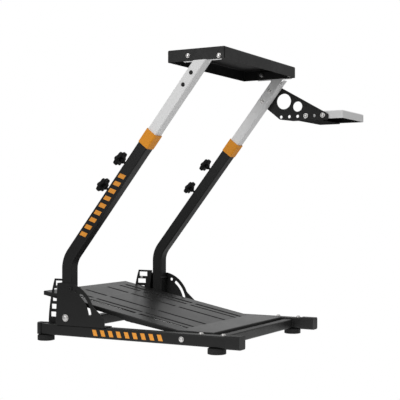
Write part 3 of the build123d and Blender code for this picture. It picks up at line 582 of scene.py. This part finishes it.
def bolt_tree():
    """A bolt on every seed point, with its nut if that is asked for."""
    tree, given, out = geometry_group("bolt_with_nut", {
        "Head Radius": 0.0065, "Head Height": 0.0044, "Socket Radius": 0.0029,
        "Washer Radius": 0.0085, "Washer Thickness": 0.0016, "Shank Radius": 0.004, "Grip": 0.02,
        "Nut Height": 0.006, "Nut": True,
    })
    maths = maths_in(tree)

    def bar(sides, radius, low, high):
        """A closed prism between two heights, and the mark of its top face."""
        made = add(tree, "GeometryNodeMeshCylinder", {
            "Vertices": sides, "Radius": radius, "Depth": maths("SUBTRACT", high, low),
        })
        middle = maths("MULTIPLY", maths("ADD", low, high), 0.5)
        lift = add(tree, "ShaderNodeCombineXYZ", {"Z": middle}).outputs["Vector"]
        moved = add(tree, "GeometryNodeTransform", {
            "Geometry": made.outputs["Mesh"], "Translation": lift,
        })
        return moved.outputs["Geometry"], made.outputs["Top"]

    def drawn_in(mesh, top, rise, scale):
        """Raises the top face and draws it in, for a step of the dome."""
        raised = add(tree, "GeometryNodeExtrudeMesh", {
            "Mesh": mesh, "Selection": top, "Offset Scale": rise,
        })
        scaled = add(tree, "GeometryNodeScaleElements", {
            "Geometry": raised.outputs["Mesh"], "Selection": raised.outputs["Top"], "Scale": scale,
        })
        return scaled.outputs["Geometry"], raised.outputs["Top"]

    washer = given["Washer Thickness"]
    head_height = given["Head Height"]
    half_height = maths("MULTIPLY", head_height, 0.5)
    head, top = bar(ROUND_SIDES, given["Head Radius"], washer, maths("ADD", washer, half_height))
    for rise, scale in DOME_STEPS:
        head, top = drawn_in(head, top, maths("MULTIPLY", head_height, rise), scale)
    tip = maths("ADD", washer, maths("MULTIPLY", head_height, SOCKET_TOP))
    socket, _ = bar(HEX_SIDES, given["Socket Radius"], maths("ADD", washer, half_height), tip)
    cut = add(tree, "GeometryNodeMeshBoolean", {
        "Mesh 1": head, "Mesh 2": socket,
    }, operation="DIFFERENCE")
    washer_ring, _ = bar(ROUND_SIDES, given["Washer Radius"], 0.0, washer)
    seat = maths("MULTIPLY", given["Grip"], -1.0)
    nut_start = maths("SUBTRACT", seat, washer)
    nut_end = maths("SUBTRACT", nut_start, given["Nut Height"])
    shank_end = maths("SUBTRACT", nut_end, maths("MULTIPLY", given["Nut Height"], PAST_NUT))
    shank, _ = bar(ROUND_SIDES, given["Shank Radius"], shank_end, 0.0)
    nut, _ = bar(HEX_SIDES, maths("MULTIPLY", given["Shank Radius"], NUT_RATIO), nut_end, nut_start)
    nut_washer, _ = bar(ROUND_SIDES, given["Washer Radius"], nut_start, seat)
    chosen = add(tree, "GeometryNodeSwitch", {
        "Switch": given["Nut"], "True": joined(tree, nut, nut_washer),
    }, input_type="GEOMETRY")
    bolt = joined(tree, cut.outputs["Mesh"], washer_ring, shank, chosen.outputs["Output"])
    return end_tree(tree, given, out, on_seed_points(tree, given, bolt))


bolt_with_nut = bolt_tree()
print("bolt tree has", len(bolt_with_nut.nodes), "nodes")

# %% [markdown]
# ## Where the bolts go
# The largest bolts carry the uprights. Smaller ones carry the pedal plate, go into the rails at
# their rear ends and hold the shifter tray to its bracket. Bolts with low heads hold the arms to
# the inner tubes; the deck turns on two more of them and is locked by another two in its arc slots.
# Each ladder plate has one very small bolt. The lock bolt of each upright is blackened and rides on
# the upright, since it is moved along the fan plate when the stand is folded. Black plugs close the
# holes in the outer face of the left inner tube; a plug is a bolt with a thin rim and no nut.

# %% Bolts
PIVOT = {"Head Radius": 9.5, "Head Height": 6.0, "Socket Radius": 4.0, "Washer Radius": 12.0,
         "Washer Thickness": 2.0, "Shank Radius": 4.9, "Nut Height": 5.0}
M8 = {"Head Radius": 6.5, "Head Height": 4.4, "Socket Radius": 2.9, "Washer Radius": 8.5,
      "Washer Thickness": 1.6, "Shank Radius": 4.0, "Nut Height": 5.0}
M8_LOW = M8 | {"Head Radius": 5.8, "Head Height": 3.6, "Washer Radius": 7.0}
M5 = {"Head Radius": 4.2, "Head Height": 2.8, "Socket Radius": 1.8, "Washer Radius": 4.7,
      "Washer Thickness": 1.0, "Shank Radius": 2.5, "Nut Height": 3.0}
PLUG = {"Head Radius": 6.2, "Head Height": 2.0, "Socket Radius": 0.8, "Washer Radius": 6.4,
        "Washer Thickness": 0.4, "Shank Radius": 4.1}


def bolts(size, places, grip, material=zinc, nut=True):
    """A mesh of bolts of one size; grip is the thickness that they clamp, in millimetres."""
    values = {name: value * MM for name, value in size.items()}
    values |= {"Grip": grip * MM, "Nut": nut, "Material": material}
    return grow(bolt_with_nut, seed_points(places), values)


def across(x, y, z, side):
    """A bolt place that faces along X, outwards on that side."""
    return (Vector((x, y, z)), ALONG_X * side)


LOCK_REACH, LOCK_ANGLE = 96, radians(12)        # from the pivot, behind the upright position
lock_y = upright_pivot.y - LOCK_REACH * MM * sin(LOCK_ANGLE)
lock_z = upright_pivot.z + LOCK_REACH * MM * cos(LOCK_ANGLE)
DECK_LOCK_BACK, DECK_LOCK_DROP = 106, 7
ARM_BOLTS_ALONG = (688.2, 732.2)                # up the tube, from the bend
TRAY_BOLTS, TRAY_ROW_HEIGHT = (-579.1, -641.1), 747
LADDER_X, LADDER_Y, LADDER_Z = 255, 62, 173
RAIL_BOLTS, RAIL_X, RAIL_TOP = (-484, -559), 275, 55
pivot_spots, pedal_spots, deck_spots, lock_spots = [], [], [], []
ladder_spots, rail_spots, arm_spots, plug_spots = [], [], [], []
for name, side in SIDES.items():
    fan_x = face_x(f"{name}_bracket", side)
    pivot_spots.append(across(fan_x, upright_pivot.y, upright_pivot.z, side))
    lock_spots.append(across(fan_x, lock_y, lock_z, side))
    pedal_spots.append(across(face_x(f"{name}_rail", side), pedal_pivot.y, pedal_pivot.z, side))
    deck_x = face_x("wheel_deck", side)
    deck_spots.append(across(deck_x, deck_pivot.y, deck_pivot.z, side))
    deck_lock = deck_pivot - Vector((0, DECK_LOCK_BACK, DECK_LOCK_DROP)) * MM
    deck_spots.append(across(deck_x, deck_lock.y, deck_lock.z, side))
    ladder_spots.append(across(*at(side * LADDER_X, LADDER_Y, LADDER_Z), side))
    rail_spots += [(at(side * RAIL_X, y, RAIL_TOP), ALONG_Z) for y in RAIL_BOLTS]
    arm_x = face_x(f"{name}_deck_arm", -side)
    for along in ARM_BOLTS_ALONG:
        spot = at(0, 0, BEND_HEIGHT) + tube_up * along * MM
        arm_spots.append(across(arm_x, spot.y, spot.z, -side))
        if side == LEFT:
            plug_spots.append(across(face_x(f"{name}_inner_tube", side), spot.y, spot.z, side))
gusset_x = face_x("shifter_bracket", LEFT)
tray_spots = [across(gusset_x, at(0, y, 0).y, TRAY_ROW_HEIGHT * MM, LEFT) for y in TRAY_BOLTS]

base_bolts = piece("base_bolts", [
    bolts(PIVOT, pivot_spots, grip=46), bolts(M8, pedal_spots, grip=54),
    bolts(M5, ladder_spots, grip=3), bolts(M8, rail_spots, grip=12),
], "base")
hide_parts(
    "left_pivot_bolt", "right_pivot_bolt", "left_pedal_bolt", "right_pedal_bolt")
lock_bolts = piece("upright_lock_bolts", [
    bolts(M8, lock_spots, grip=40, material=black_powder, nut=False),
], "uprights")
deck_bolts = piece("deck_and_arm_bolts", [
    bolts(M8_LOW, deck_spots, grip=6), bolts(M8_LOW, arm_spots, grip=5),
    bolts(M8, tray_spots, grip=6),
], "height_frame")
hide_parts(*(f"{side}_deck_{use}_bolt" for side in SIDES for use in ("pivot", "lock")))
plugs = piece("tube_hole_plugs", [
    bolts(PLUG, plug_spots, grip=6, material=black_plastic, nut=False),
], "height_frame")
for made in (base_bolts, lock_bolts, deck_bolts, plugs):
    print(made.name, "has", count(made), "triangles")

# %% [markdown]
# ## Star knobs
# Each upright has two clamp knobs of moulded plastic: a hub, a star-shaped head with round lobes
# and a shallow cap on top. The shape follows a rule, so it is a grid wrapped round an axis: one
# direction goes round, the other runs along a profile, and a cosine draws the rim in between lobes.

# %% Star knob tree
VALLEY_POWER = 1.1      # over 1, the valleys between the lobes are narrower than the lobes
MERGE_GAP = 1e-6        # metres


def curve_of(tree, position, points):
    """A profile as a Float Curve: straight runs through points of (share along, value)."""
    node = add(tree, "ShaderNodeFloatCurve", {"Value": position})
    line = node.mapping.curves[0]
    line.points[0].location = points[0]
    line.points[1].location = points[-1]
    for point in points[1:-1]:
        line.points.new(*point)
    for point in line.points:
        point.handle_type = "VECTOR"
    node.mapping.update()
    return node.outputs["Value"]


def merged(tree, mesh):
    """Closes the seams of a mesh, where points lie on top of each other."""
    values = {"Geometry": mesh, "Distance": MERGE_GAP}
    return add(tree, "GeometryNodeMergeByDistance", values).outputs["Geometry"]


def knob_tree():
    """A star knob on every seed point."""
    tree, given, out = geometry_group("star_knob", {
        "Radius": 0.0255, "Height": 0.026, "Lobes": 6, "Lobe Depth": 0.27, "Steps Round": 97,
        "Steps Along": 65,
    })
    maths = maths_in(tree)
    grid = add(tree, "GeometryNodeMeshGrid", {
        "Size X": 1.0, "Size Y": 1.0,
        "Vertices X": given["Steps Round"], "Vertices Y": given["Steps Along"],
    })
    place = split(tree, add(tree, "GeometryNodeInputPosition").outputs["Position"])
    angle = maths("MULTIPLY", maths("ADD", place["X"], 0.5), 2 * pi)
    along = maths("ADD", place["Y"], 0.5)
    rim = curve_of(tree, along, [
        (0, 0), (0.1, 0.3), (0.2, 0.3), (0.3, 0.88), (0.36, 0.97), (0.42, 1),
        (0.58, 1), (0.66, 0.97), (0.72, 0.88), (0.86, 0.36), (0.94, 0.3), (1, 0),
    ])
    rise = curve_of(tree, along, [
        (0, 0), (0.1, 0), (0.2, 0.36), (0.3, 0.4), (0.36, 0.43), (0.42, 0.5),
        (0.58, 0.8), (0.66, 0.88), (0.72, 0.92), (0.86, 0.95), (0.94, 1), (1, 1),
    ])
    star = curve_of(tree, along, [
        (0, 0), (0.2, 0), (0.34, 1), (0.68, 1), (0.82, 0.2), (0.86, 0), (1, 0),
    ])
    wave = maths("COSINE", maths("MULTIPLY", angle, given["Lobes"]))
    valley = maths("POWER", maths("MULTIPLY", maths("SUBTRACT", 1.0, wave), 0.5), VALLEY_POWER)
    drawn = maths("MULTIPLY", maths("MULTIPLY", valley, given["Lobe Depth"]), star)
    left_over = maths("SUBTRACT", 1.0, drawn)
    radius = maths("MULTIPLY", maths("MULTIPLY", rim, left_over), given["Radius"])
    wrapped = add(tree, "ShaderNodeCombineXYZ", {
        "X": maths("MULTIPLY", radius, maths("COSINE", angle)),
        "Y": maths("MULTIPLY", radius, maths("SINE", angle)),
        "Z": maths("MULTIPLY", rise, given["Height"]),
    })
    shaped = add(tree, "GeometryNodeSetPosition", {
        "Geometry": grid.outputs["Mesh"], "Position": wrapped.outputs["Vector"],
    })
    knob = merged(tree, shaped.outputs["Geometry"])
    return end_tree(tree, given, out, on_seed_points(tree, given, knob))


def outward(mesh):
    """Turns all faces of a closed mesh to the outside."""
    shape = bmesh.new()
    shape.from_mesh(mesh)
    bmesh.ops.recalc_face_normals(shape, faces=shape.faces)
    shape.to_mesh(mesh)
    shape.free()
    return mesh


print("ready to grow knobs")

# %% [markdown]
# ## Knobs on their stems
# A knob sits on a blackened screw that goes through the upright's wall and presses on the inner
# tube. A screw is round, so it is turned like on a lathe: a profile of radius and height is spun
# about its axis in steps, and the profile goes in and out for the thread.

# %% Knobs on their stems
LATHE_STEPS = 48


def lathe(profile, centre, axis, material):
    """A closed mesh turned about an axis, from points of (radius, height) in millimetres."""
    turn = axis.to_track_quat("Z", "Y")
    shape = bmesh.new()
    angles = [2 * pi * step / LATHE_STEPS for step in range(LATHE_STEPS)]
    rings = []
    for radius, height in profile:
        ring = [Vector((cos(angle) * radius, sin(angle) * radius, height)) for angle in angles]
        rings.append([shape.verts.new(centre + turn @ point * MM) for point in ring])
    for lower, upper in zip(rings, rings[1:]):
        for step in range(LATHE_STEPS):
            after = (step + 1) % LATHE_STEPS
            shape.faces.new((lower[step], lower[after], upper[after], upper[step]))
    shape.faces.new(rings[0])
    shape.faces.new(rings[-1])
    return mesh_of("turned", shape, material)


HUB_START, STEM_START, STEM_IN_HUB = 33, 18, 2      # from the tube's axis; length inside the hub
STEM_RADIUS, THREAD_ROOT, THREAD_PITCH = 4, 3.52, 1.25
stem_profile = []
for turn in range(int((HUB_START - STEM_START) / THREAD_PITCH)):
    base = STEM_START + turn * THREAD_PITCH
    stem_profile += [(THREAD_ROOT, base), (STEM_RADIUS, base + THREAD_PITCH / 2)]
stem_profile.append((THREAD_ROOT, HUB_START + STEM_IN_HUB))
star_knob = knob_tree()
for node in [name for name in frame["nodes"] if name.endswith("_knob")]:
    turning = joints[f"{node}_turn"]
    axis = Vector(turning["axis"])
    foot_of_knob = Vector(turning["pos_m"]) + axis * HUB_START * MM
    vertices = frame["nodes"][node].data.vertices
    reach = max((vertex.co - foot_of_knob).dot(axis) for vertex in vertices)
    values = {"Height": reach, "Material": knob_plastic}
    mesh = grow(star_knob, seed_points([(foot_of_knob, axis)]), values)
    made = piece(node.replace("_knob", "_star_knob"), [outward(mesh)], node)
    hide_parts(node)
    turned = lathe(stem_profile, Vector(turning["pos_m"]), axis, black_powder)
    stem = piece(node.replace("_knob", "_knob_stem"), [turned], node)
    print(made.name, "has", count(made), "triangles, its stem", count(stem))

# %% [markdown]
# ## Weld beads
# The two cross tubes are welded to the rails before the frame is coated, so the beads are black
# like the tubes. A bead is a row of small overlapping ripples. The tree turns each seam into a
# curve, spaces points along it and sets a flattened ball on every point.

# %% Weld beads
RIPPLE_FLATNESS = 0.55      # a ripple's length along the seam over its width
TUBE_CORNER = 4             # the seam stops short of the tubes' round corners


def weld_tree():
    """A row of ripples along every edge of the seed mesh."""
    tree, given, out = geometry_group("weld_bead", {"Pitch": 0.0016, "Bead Radius": 0.0024})
    seam = add(tree, "GeometryNodeMeshToCurve", {"Mesh": given["Geometry"]})
    spaced = add(tree, "GeometryNodeResampleCurve", {
        "Curve": seam.outputs["Curve"], "Length": given["Pitch"],
    }, mode="LENGTH")
    ripple = add(tree, "GeometryNodeMeshUVSphere", {
        "Segments": 8, "Rings": 5, "Radius": given["Bead Radius"],
    })
    flat = add(tree, "GeometryNodeTransform", {
        "Geometry": ripple.outputs["Mesh"], "Scale": (1.0, 1.0, RIPPLE_FLATNESS),
    })
    tangent = add(tree, "GeometryNodeInputTangent").outputs["Tangent"]
    placed = on_points(tree, spaced.outputs["Curve"], flat.outputs["Geometry"], tangent)
    return end_tree(tree, given, out, placed)


weld_bead = weld_tree()
seams = []
for tube in ("front_cross_tube", "rear_cross_tube"):
    low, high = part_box(tube)
    inset = TUBE_CORNER * MM
    for x in (low.x, high.x):
        corners = [(low.y, low.z), (high.y, low.z), (high.y, high.z), (low.y, high.z)]
        for (y0, z0), (y1, z1) in zip(corners, corners[1:] + corners[:1]):
            start, end = Vector((x, y0, z0)), Vector((x, y1, z1))
            step = (end - start).normalized() * inset
            seams.append((start + step, end - step))
ends = [(end, ALONG_Z) for seam in seams for end in seam]
seed = seed_points(ends, [(2 * index, 2 * index + 1) for index in range(len(seams))])
beads = grow(weld_bead, seed, {"Material": black_powder})
welds = piece("cross_tube_welds", [beads], "base")
print("welds:", len(seams), "seams,", count(welds), "triangles")

# %% [markdown]
# ## Rear lip of the pedal plate
# The plate's rear edge is turned down, which stiffens it and closes the view below it. The lip is a
# plain strip under the sheet, between the side flanges, and turns with the plate.

# %% Rear lip
LIP_DEPTH, LIP_SHEET, LIP_INSET = 14, 2, 2.5
PLATE_FLAT_TOP = 57.5


def slab(low, high, material):
    """A box mesh between two corners."""
    middle, size = (low + high) / 2, high - low
    shape = bmesh.new()
    bmesh.ops.create_cube(shape, size=1, matrix=Matrix.LocRotScale(middle, None, size))
    return mesh_of("slab", shape, material)


plate_low, plate_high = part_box("pedal_plate")
edge_under = PLATE_FLAT_TOP - LIP_SHEET
strip = slab(
    Vector((plate_low.x + LIP_INSET * MM, plate_low.y, (edge_under - LIP_DEPTH) * MM)),
    Vector((plate_high.x - LIP_INSET * MM, plate_low.y + LIP_SHEET * MM, edge_under * MM)),
    plate_powder,
)
lip = piece("pedal_plate_rear_lip", [strip], "pedals")
print(lip.name, "has", count(lip), "triangles")

# %% [markdown]
# ## Rubber feet
# Each foot is a rubber pad with a ribbed rim on a short stem under the rail. It is turned on the
# same lathe as the knobs' stems.

# %% Rubber feet
FOOT_RIBS, RIB_START, RIB_SPARE = 3, 2, 5       # height under the ribs; pad height that has none
RIB_STEPS = ((0.6, 0), (0.72, 0.9), (0.88, 0.9), (1, 0))    # share of a rib, groove's depth
SOLE = ((3, 0), (0.8, 0.6), (0, 2))             # drawn in from the rim, height
CROWN = ((0.4, -1.4), (2.2, 0), (8, 0.6))       # drawn in from the rim, height over the pad's top
PAD_SHARE, STEM_FOOT, FOOT_STEM = 0.9, 0.8, 7   # pad's share of the height; stem's start and radius
for node in [name for name in frame["nodes"] if name.endswith("_foot")]:
    low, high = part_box(node)
    centre = Vector(((low.x + high.x) / 2, (low.y + high.y) / 2, low.z))
    radius = (high.x - low.x) / 2 / MM
    height = (high.z - low.z) / MM
    pad = height * PAD_SHARE
    rise = (pad - RIB_SPARE) / FOOT_RIBS
    profile = [(radius - inset, up) for inset, up in SOLE]
    for rib in range(FOOT_RIBS):
        base = RIB_START + rise * rib
        profile += [(radius - depth, base + rise * share) for share, depth in RIB_STEPS]
    profile += [(radius - inset, pad + up) for inset, up in CROWN]
    profile += [(FOOT_STEM, pad + STEM_FOOT), (FOOT_STEM, height)]
    turned = lathe(profile, centre, ALONG_Z, rubber)
    made = piece(node.replace("_foot", "_rubber_foot"), [turned], "base")
    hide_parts(node)
    print(made.name, "has", count(made), "triangles")

# %% [markdown]
# ## Front end caps
# Each rail ends in front in a moulded cap with a round outer corner, which reaches over the rail's
# end by a wall's thickness. Seen from above the cap is a short block with one large and one small
# round corner, so that outline is drawn from arcs, raised to a block, and its rim is bevelled.

# %% Front end caps
CAP_REAR, CAP_FRONT = 103, 131          # ahead of the uprights' axis
CAP_WALL, CAP_UNDER = 2.5, 0.1          # beyond the rail's faces; below its underside
CAP_OUTER_ROUND, CAP_INNER_ROUND, CAP_RIM = 27, 6, 2.5
CAP_ARC_STEPS, CAP_RIM_STEPS = 12, 4


def quarter(centre, radius, start):
    """Points on a quarter circle, from a start angle in degrees, turning left."""
    angles = [radians(start + 90 * step / CAP_ARC_STEPS) for step in range(CAP_ARC_STEPS + 1)]
    x, y = centre
    return [Vector((x + radius * cos(angle), y + radius * sin(angle))) for angle in angles]


def end_cap(inner, outer, bottom, top, material):
    """A block over a rail's end. Inner and outer are distances from the middle of the stand."""
    outline = quarter((outer - CAP_OUTER_ROUND, CAP_FRONT - CAP_OUTER_ROUND), CAP_OUTER_ROUND, 0)
    outline += quarter((inner + CAP_INNER_ROUND, CAP_FRONT - CAP_INNER_ROUND), CAP_INNER_ROUND, 90)
    outline += [Vector((inner, CAP_REAR)), Vector((outer, CAP_REAR))]
    shape = bmesh.new()
    face = shape.faces.new([shape.verts.new((point.x, point.y, bottom)) for point in outline])
    raised = bmesh.ops.extrude_face_region(shape, geom=[face])["geom"]
    moved = [item for item in raised if isinstance(item, bmesh.types.BMVert)]
    bmesh.ops.translate(shape, verts=moved, vec=(0, 0, top - bottom))
    halfway = (bottom + top) / 2
    rim = [edge for edge in shape.edges if all(vert.co.z > halfway for vert in edge.verts)]
    bmesh.ops.bevel(
        shape, geom=rim, offset=CAP_RIM, segments=CAP_RIM_STEPS, profile=0.5, affect="EDGES")
    return mesh_of("end_cap", shape, material)


low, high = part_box("left_rail")
inner, outer = (middle_x - high.x) / MM, (middle_x - low.x) / MM + CAP_WALL
for name, side in SIDES.items():
    mesh = end_cap(inner, outer, low.z / MM - CAP_UNDER, high.z / MM + CAP_WALL, black_plastic)
    for vertex in mesh.vertices:
        vertex.co = at(side * vertex.co.x, vertex.co.y, vertex.co.z)
    cap = piece(f"{name}_front_end_cap", [outward(mesh)], "base")
    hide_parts(f"{name}_front_plug")
    print(cap.name, "has", count(cap), "triangles")

# %% [markdown]
# ## Orange stripes
# The uprights and the rails carry a row of slanted orange bars, cut from thin film, on their outer
# faces. One bar is a flat sheet sheared to a slant; the tree sets copies of it in a row.

# %% Orange stripes
def stripe_tree():
    """A row of slanted bars along X, from the origin."""
    tree, given, out = geometry_group("slanted_bars", {
        "Bar Width": 0.012, "Bar Height": 0.024, "Slant": 0.35, "Count": 8, "Pitch": 0.03,
        "Film": 0.0002,
    })
    sheet = add(tree, "GeometryNodeMeshGrid", {
        "Size X": given["Bar Width"], "Size Y": given["Bar Height"],
        "Vertices X": 2, "Vertices Y": 2,
    })
    place = split(tree, add(tree, "GeometryNodeInputPosition").outputs["Position"])
    sideways = maths_in(tree)("MULTIPLY", place["Y"], given["Slant"])
    push = add(tree, "ShaderNodeCombineXYZ", {"X": sideways})
    slanted = add(tree, "GeometryNodeSetPosition", {
        "Geometry": sheet.outputs["Mesh"], "Offset": push.outputs["Vector"],
    })
    thick = add(tree, "GeometryNodeExtrudeMesh", {
        "Mesh": slanted.outputs["Geometry"], "Offset Scale": given["Film"],
    })
    back = add(tree, "GeometryNodeFlipFaces", {"Mesh": slanted.outputs["Geometry"]})
    bar = merged(tree, joined(tree, thick.outputs["Mesh"], back.outputs["Mesh"]))
    step = add(tree, "ShaderNodeCombineXYZ", {"X": given["Pitch"]})
    row = add(tree, "GeometryNodeMeshLine", {
        "Count": given["Count"], "Offset": step.outputs["Vector"],
    })
    placed = add(tree, "GeometryNodeInstanceOnPoints", {
        "Points": row.outputs["Mesh"], "Instance": bar,
    })
    return end_tree(tree, given, out, placed)


def laid_on(mesh, start, along, outwards):
    """Lays a flat row on a face: along runs with the row, outwards is the face's normal."""
    up = outwards.cross(along)
    turn = Matrix((along, up, outwards)).transposed().to_4x4()
    mesh.transform(Matrix.Translation(start) @ turn)
    return mesh


slanted_bars = stripe_tree()
FILM_LIFT, SLANT, RAIL_MIDDLE = 0.05, 0.35, 37.5
BACKWARDS = Vector((0, -1, 0))
UPRIGHT_ROW = {"start": 108, "bars": 9, "pitch": 29, "width": 15, "height": 22}
RAIL_ROW = {"start": -110, "bars": 9, "pitch": 30, "width": 15, "height": 19}


def stripes(row, slant):
    """The mesh of a row of bars, still at the origin."""
    values = {"Bar Width": row["width"] * MM, "Bar Height": row["height"] * MM, "Slant": slant,
              "Count": row["bars"], "Pitch": row["pitch"] * MM, "Material": stripe_paint}
    return grow(slanted_bars, seed_points([]), values)


for name, side in SIDES.items():
    outwards = ALONG_X * side
    lift = outwards * FILM_LIFT * MM
    start = at(0, 0, BEND_HEIGHT) + tube_up * UPRIGHT_ROW["start"] * MM
    start.x = face_x(f"{name}_upright", side)
    row = laid_on(stripes(UPRIGHT_ROW, SLANT * side), start + lift, tube_up, outwards)
    piece(f"{name}_upright_stripes", [row], "uprights")
    start = at(0, RAIL_ROW["start"], RAIL_MIDDLE)
    start.x = face_x(f"{name}_rail", side)
    row = laid_on(stripes(RAIL_ROW, SLANT * side), start + lift, BACKWARDS, outwards)
    piece(f"{name}_rail_stripes", [row], "base")
print("stripes on both uprights and both rails")

# %% [markdown]
# ## Floor
# The stand was photographed on white, so the floor is plain white to the camera. So bright a floor
# would wash out a black stand, so the light that it throws is dimmer and fades with the distance.
# From below the floor is clear, and the underside can be seen.

# %% Floor
FLOOR_SIZE, FLOOR_MIDDLE = 9.0, (0, -400, 0)
FLOOR_GLOW, FLOOR_GLOW_NEAR, FLOOR_GLOW_FAR = 0.5, 1.5, 4.0
FLOOR_MIDDLE_GLOW, FLOOR_MIDDLE_REACH = 0.74, 1.1


def white_to_camera(tree, level):
    """Plain white where the camera looks, and that level for the light that reaches the stand."""
    ray = add(tree, "ShaderNodeLightPath")
    return mix_values(tree, ray.outputs["Is Camera Ray"], level, 1.0)


def studio_floor():
    """A wide floor that is white from above and clear from below, and lights the stand."""
    mesh = bpy.data.meshes.new("studio_floor")
    half = FLOOR_SIZE / 2
    corners = [(-half, -half, 0), (half, -half, 0), (half, half, 0), (-half, half, 0)]
    mesh.from_pydata(corners, [], [(0, 1, 2, 3)])
    material = bpy.data.materials.new("studio_floor")
    material.use_nodes = True
    tree = material.node_tree
    tree.nodes.remove(tree.nodes["Principled BSDF"])
    gap = vector_maths(tree, "DISTANCE", own_place(tree), at(*FLOOR_MIDDLE))["Value"]
    wide = fade(tree, gap, FLOOR_GLOW_NEAR, FLOOR_GLOW_FAR, FLOOR_GLOW)
    middle = fade(tree, gap, 0.0, FLOOR_MIDDLE_REACH, FLOOR_MIDDLE_GLOW)
    level = white_to_camera(tree, maths_in(tree)("ADD", wide, middle))
    shine = add(tree, "ShaderNodeEmission", {"Color": (1, 1, 1, 1), "Strength": level})
    behind = add(tree, "ShaderNodeNewGeometry").outputs["Backfacing"]
    clear = add(tree, "ShaderNodeBsdfTransparent")
    one_sided = add(tree, "ShaderNodeMixShader", {
        0: behind, 1: shine.outputs["Emission"], 2: clear.outputs["BSDF"],
    })
    tree.links.new(one_sided.outputs["Shader"], tree.nodes["Material Output"].inputs["Surface"])
    mesh.materials.append(material)
    floor = in_scene("studio_floor", mesh)


studio_floor()
print("floor is", FLOOR_SIZE, "m wide")

# %% [markdown]
# ## Sky and softboxes
# The sky is white to the camera too. For the stand it is a dim dome with a few soft bright lobes
# where softboxes would be, which give the coats broad, quiet reflections. Two large area lights
# shape the tubes.

# %% Sky and softboxes
SKY_LEVEL, LOBE_SHARPNESS, HORIZON = 0.17, 3.0, 0.02
LOBES = (
    ((0, 0, 1), 0.3), ((1, 1, 0.35), 0.6), ((-1, 0, 0.25), 0.58), ((0, -1, 0.25), 0.25),
    ((1, -1, 0.35), 0.42),
)       # direction, strength


def studio_world():
    """White to the camera; for the stand, a dim dome with soft bright lobes."""
    world = bpy.data.worlds.new("studio")
    bpy.context.scene.world = world
    world.use_nodes = True
    tree = world.node_tree
    maths = maths_in(tree)
    background = tree.nodes["Background"]
    background.inputs["Color"].default_value = (1, 1, 1, 1)
    direction = add(tree, "ShaderNodeTexCoord").outputs["Generated"]
    sky = SKY_LEVEL
    for towards, strength in LOBES:
        facing = vector_maths(tree, "DOT_PRODUCT", direction, Vector(towards).normalized())["Value"]
        lobe = maths("POWER", maths("MAXIMUM", facing, 0.0), LOBE_SHARPNESS)
        sky = maths("MULTIPLY_ADD", lobe, strength, sky)
    above = ramp(tree, split(tree, direction)["Z"], -HORIZON, HORIZON)
    level = white_to_camera(tree, maths("MULTIPLY", sky, above))
    tree.links.new(level, background.inputs["Strength"])


def softbox(name, place, aim, size, power):
    """A square area light turned towards a point."""
    light = bpy.data.lights.new(name, "AREA")
    light.shape = "SQUARE"
    light.size = size
    light.energy = power
    box = in_scene(name, light)
    box.location = at(*place)
    box.rotation_euler = (at(*aim) - box.location).to_track_quat("-Z", "Y").to_euler()
    box.visible_camera = False


studio_world()
softbox("top_softbox", place=(0, -200, 2800), aim=(0, -200, 400), size=2.0, power=10)
softbox("left_softbox", place=(-2800, 300, 1500), aim=(0, -200, 450), size=1.6, power=22)
print("sky with", len(LOBES), "lobes, and two softboxes")
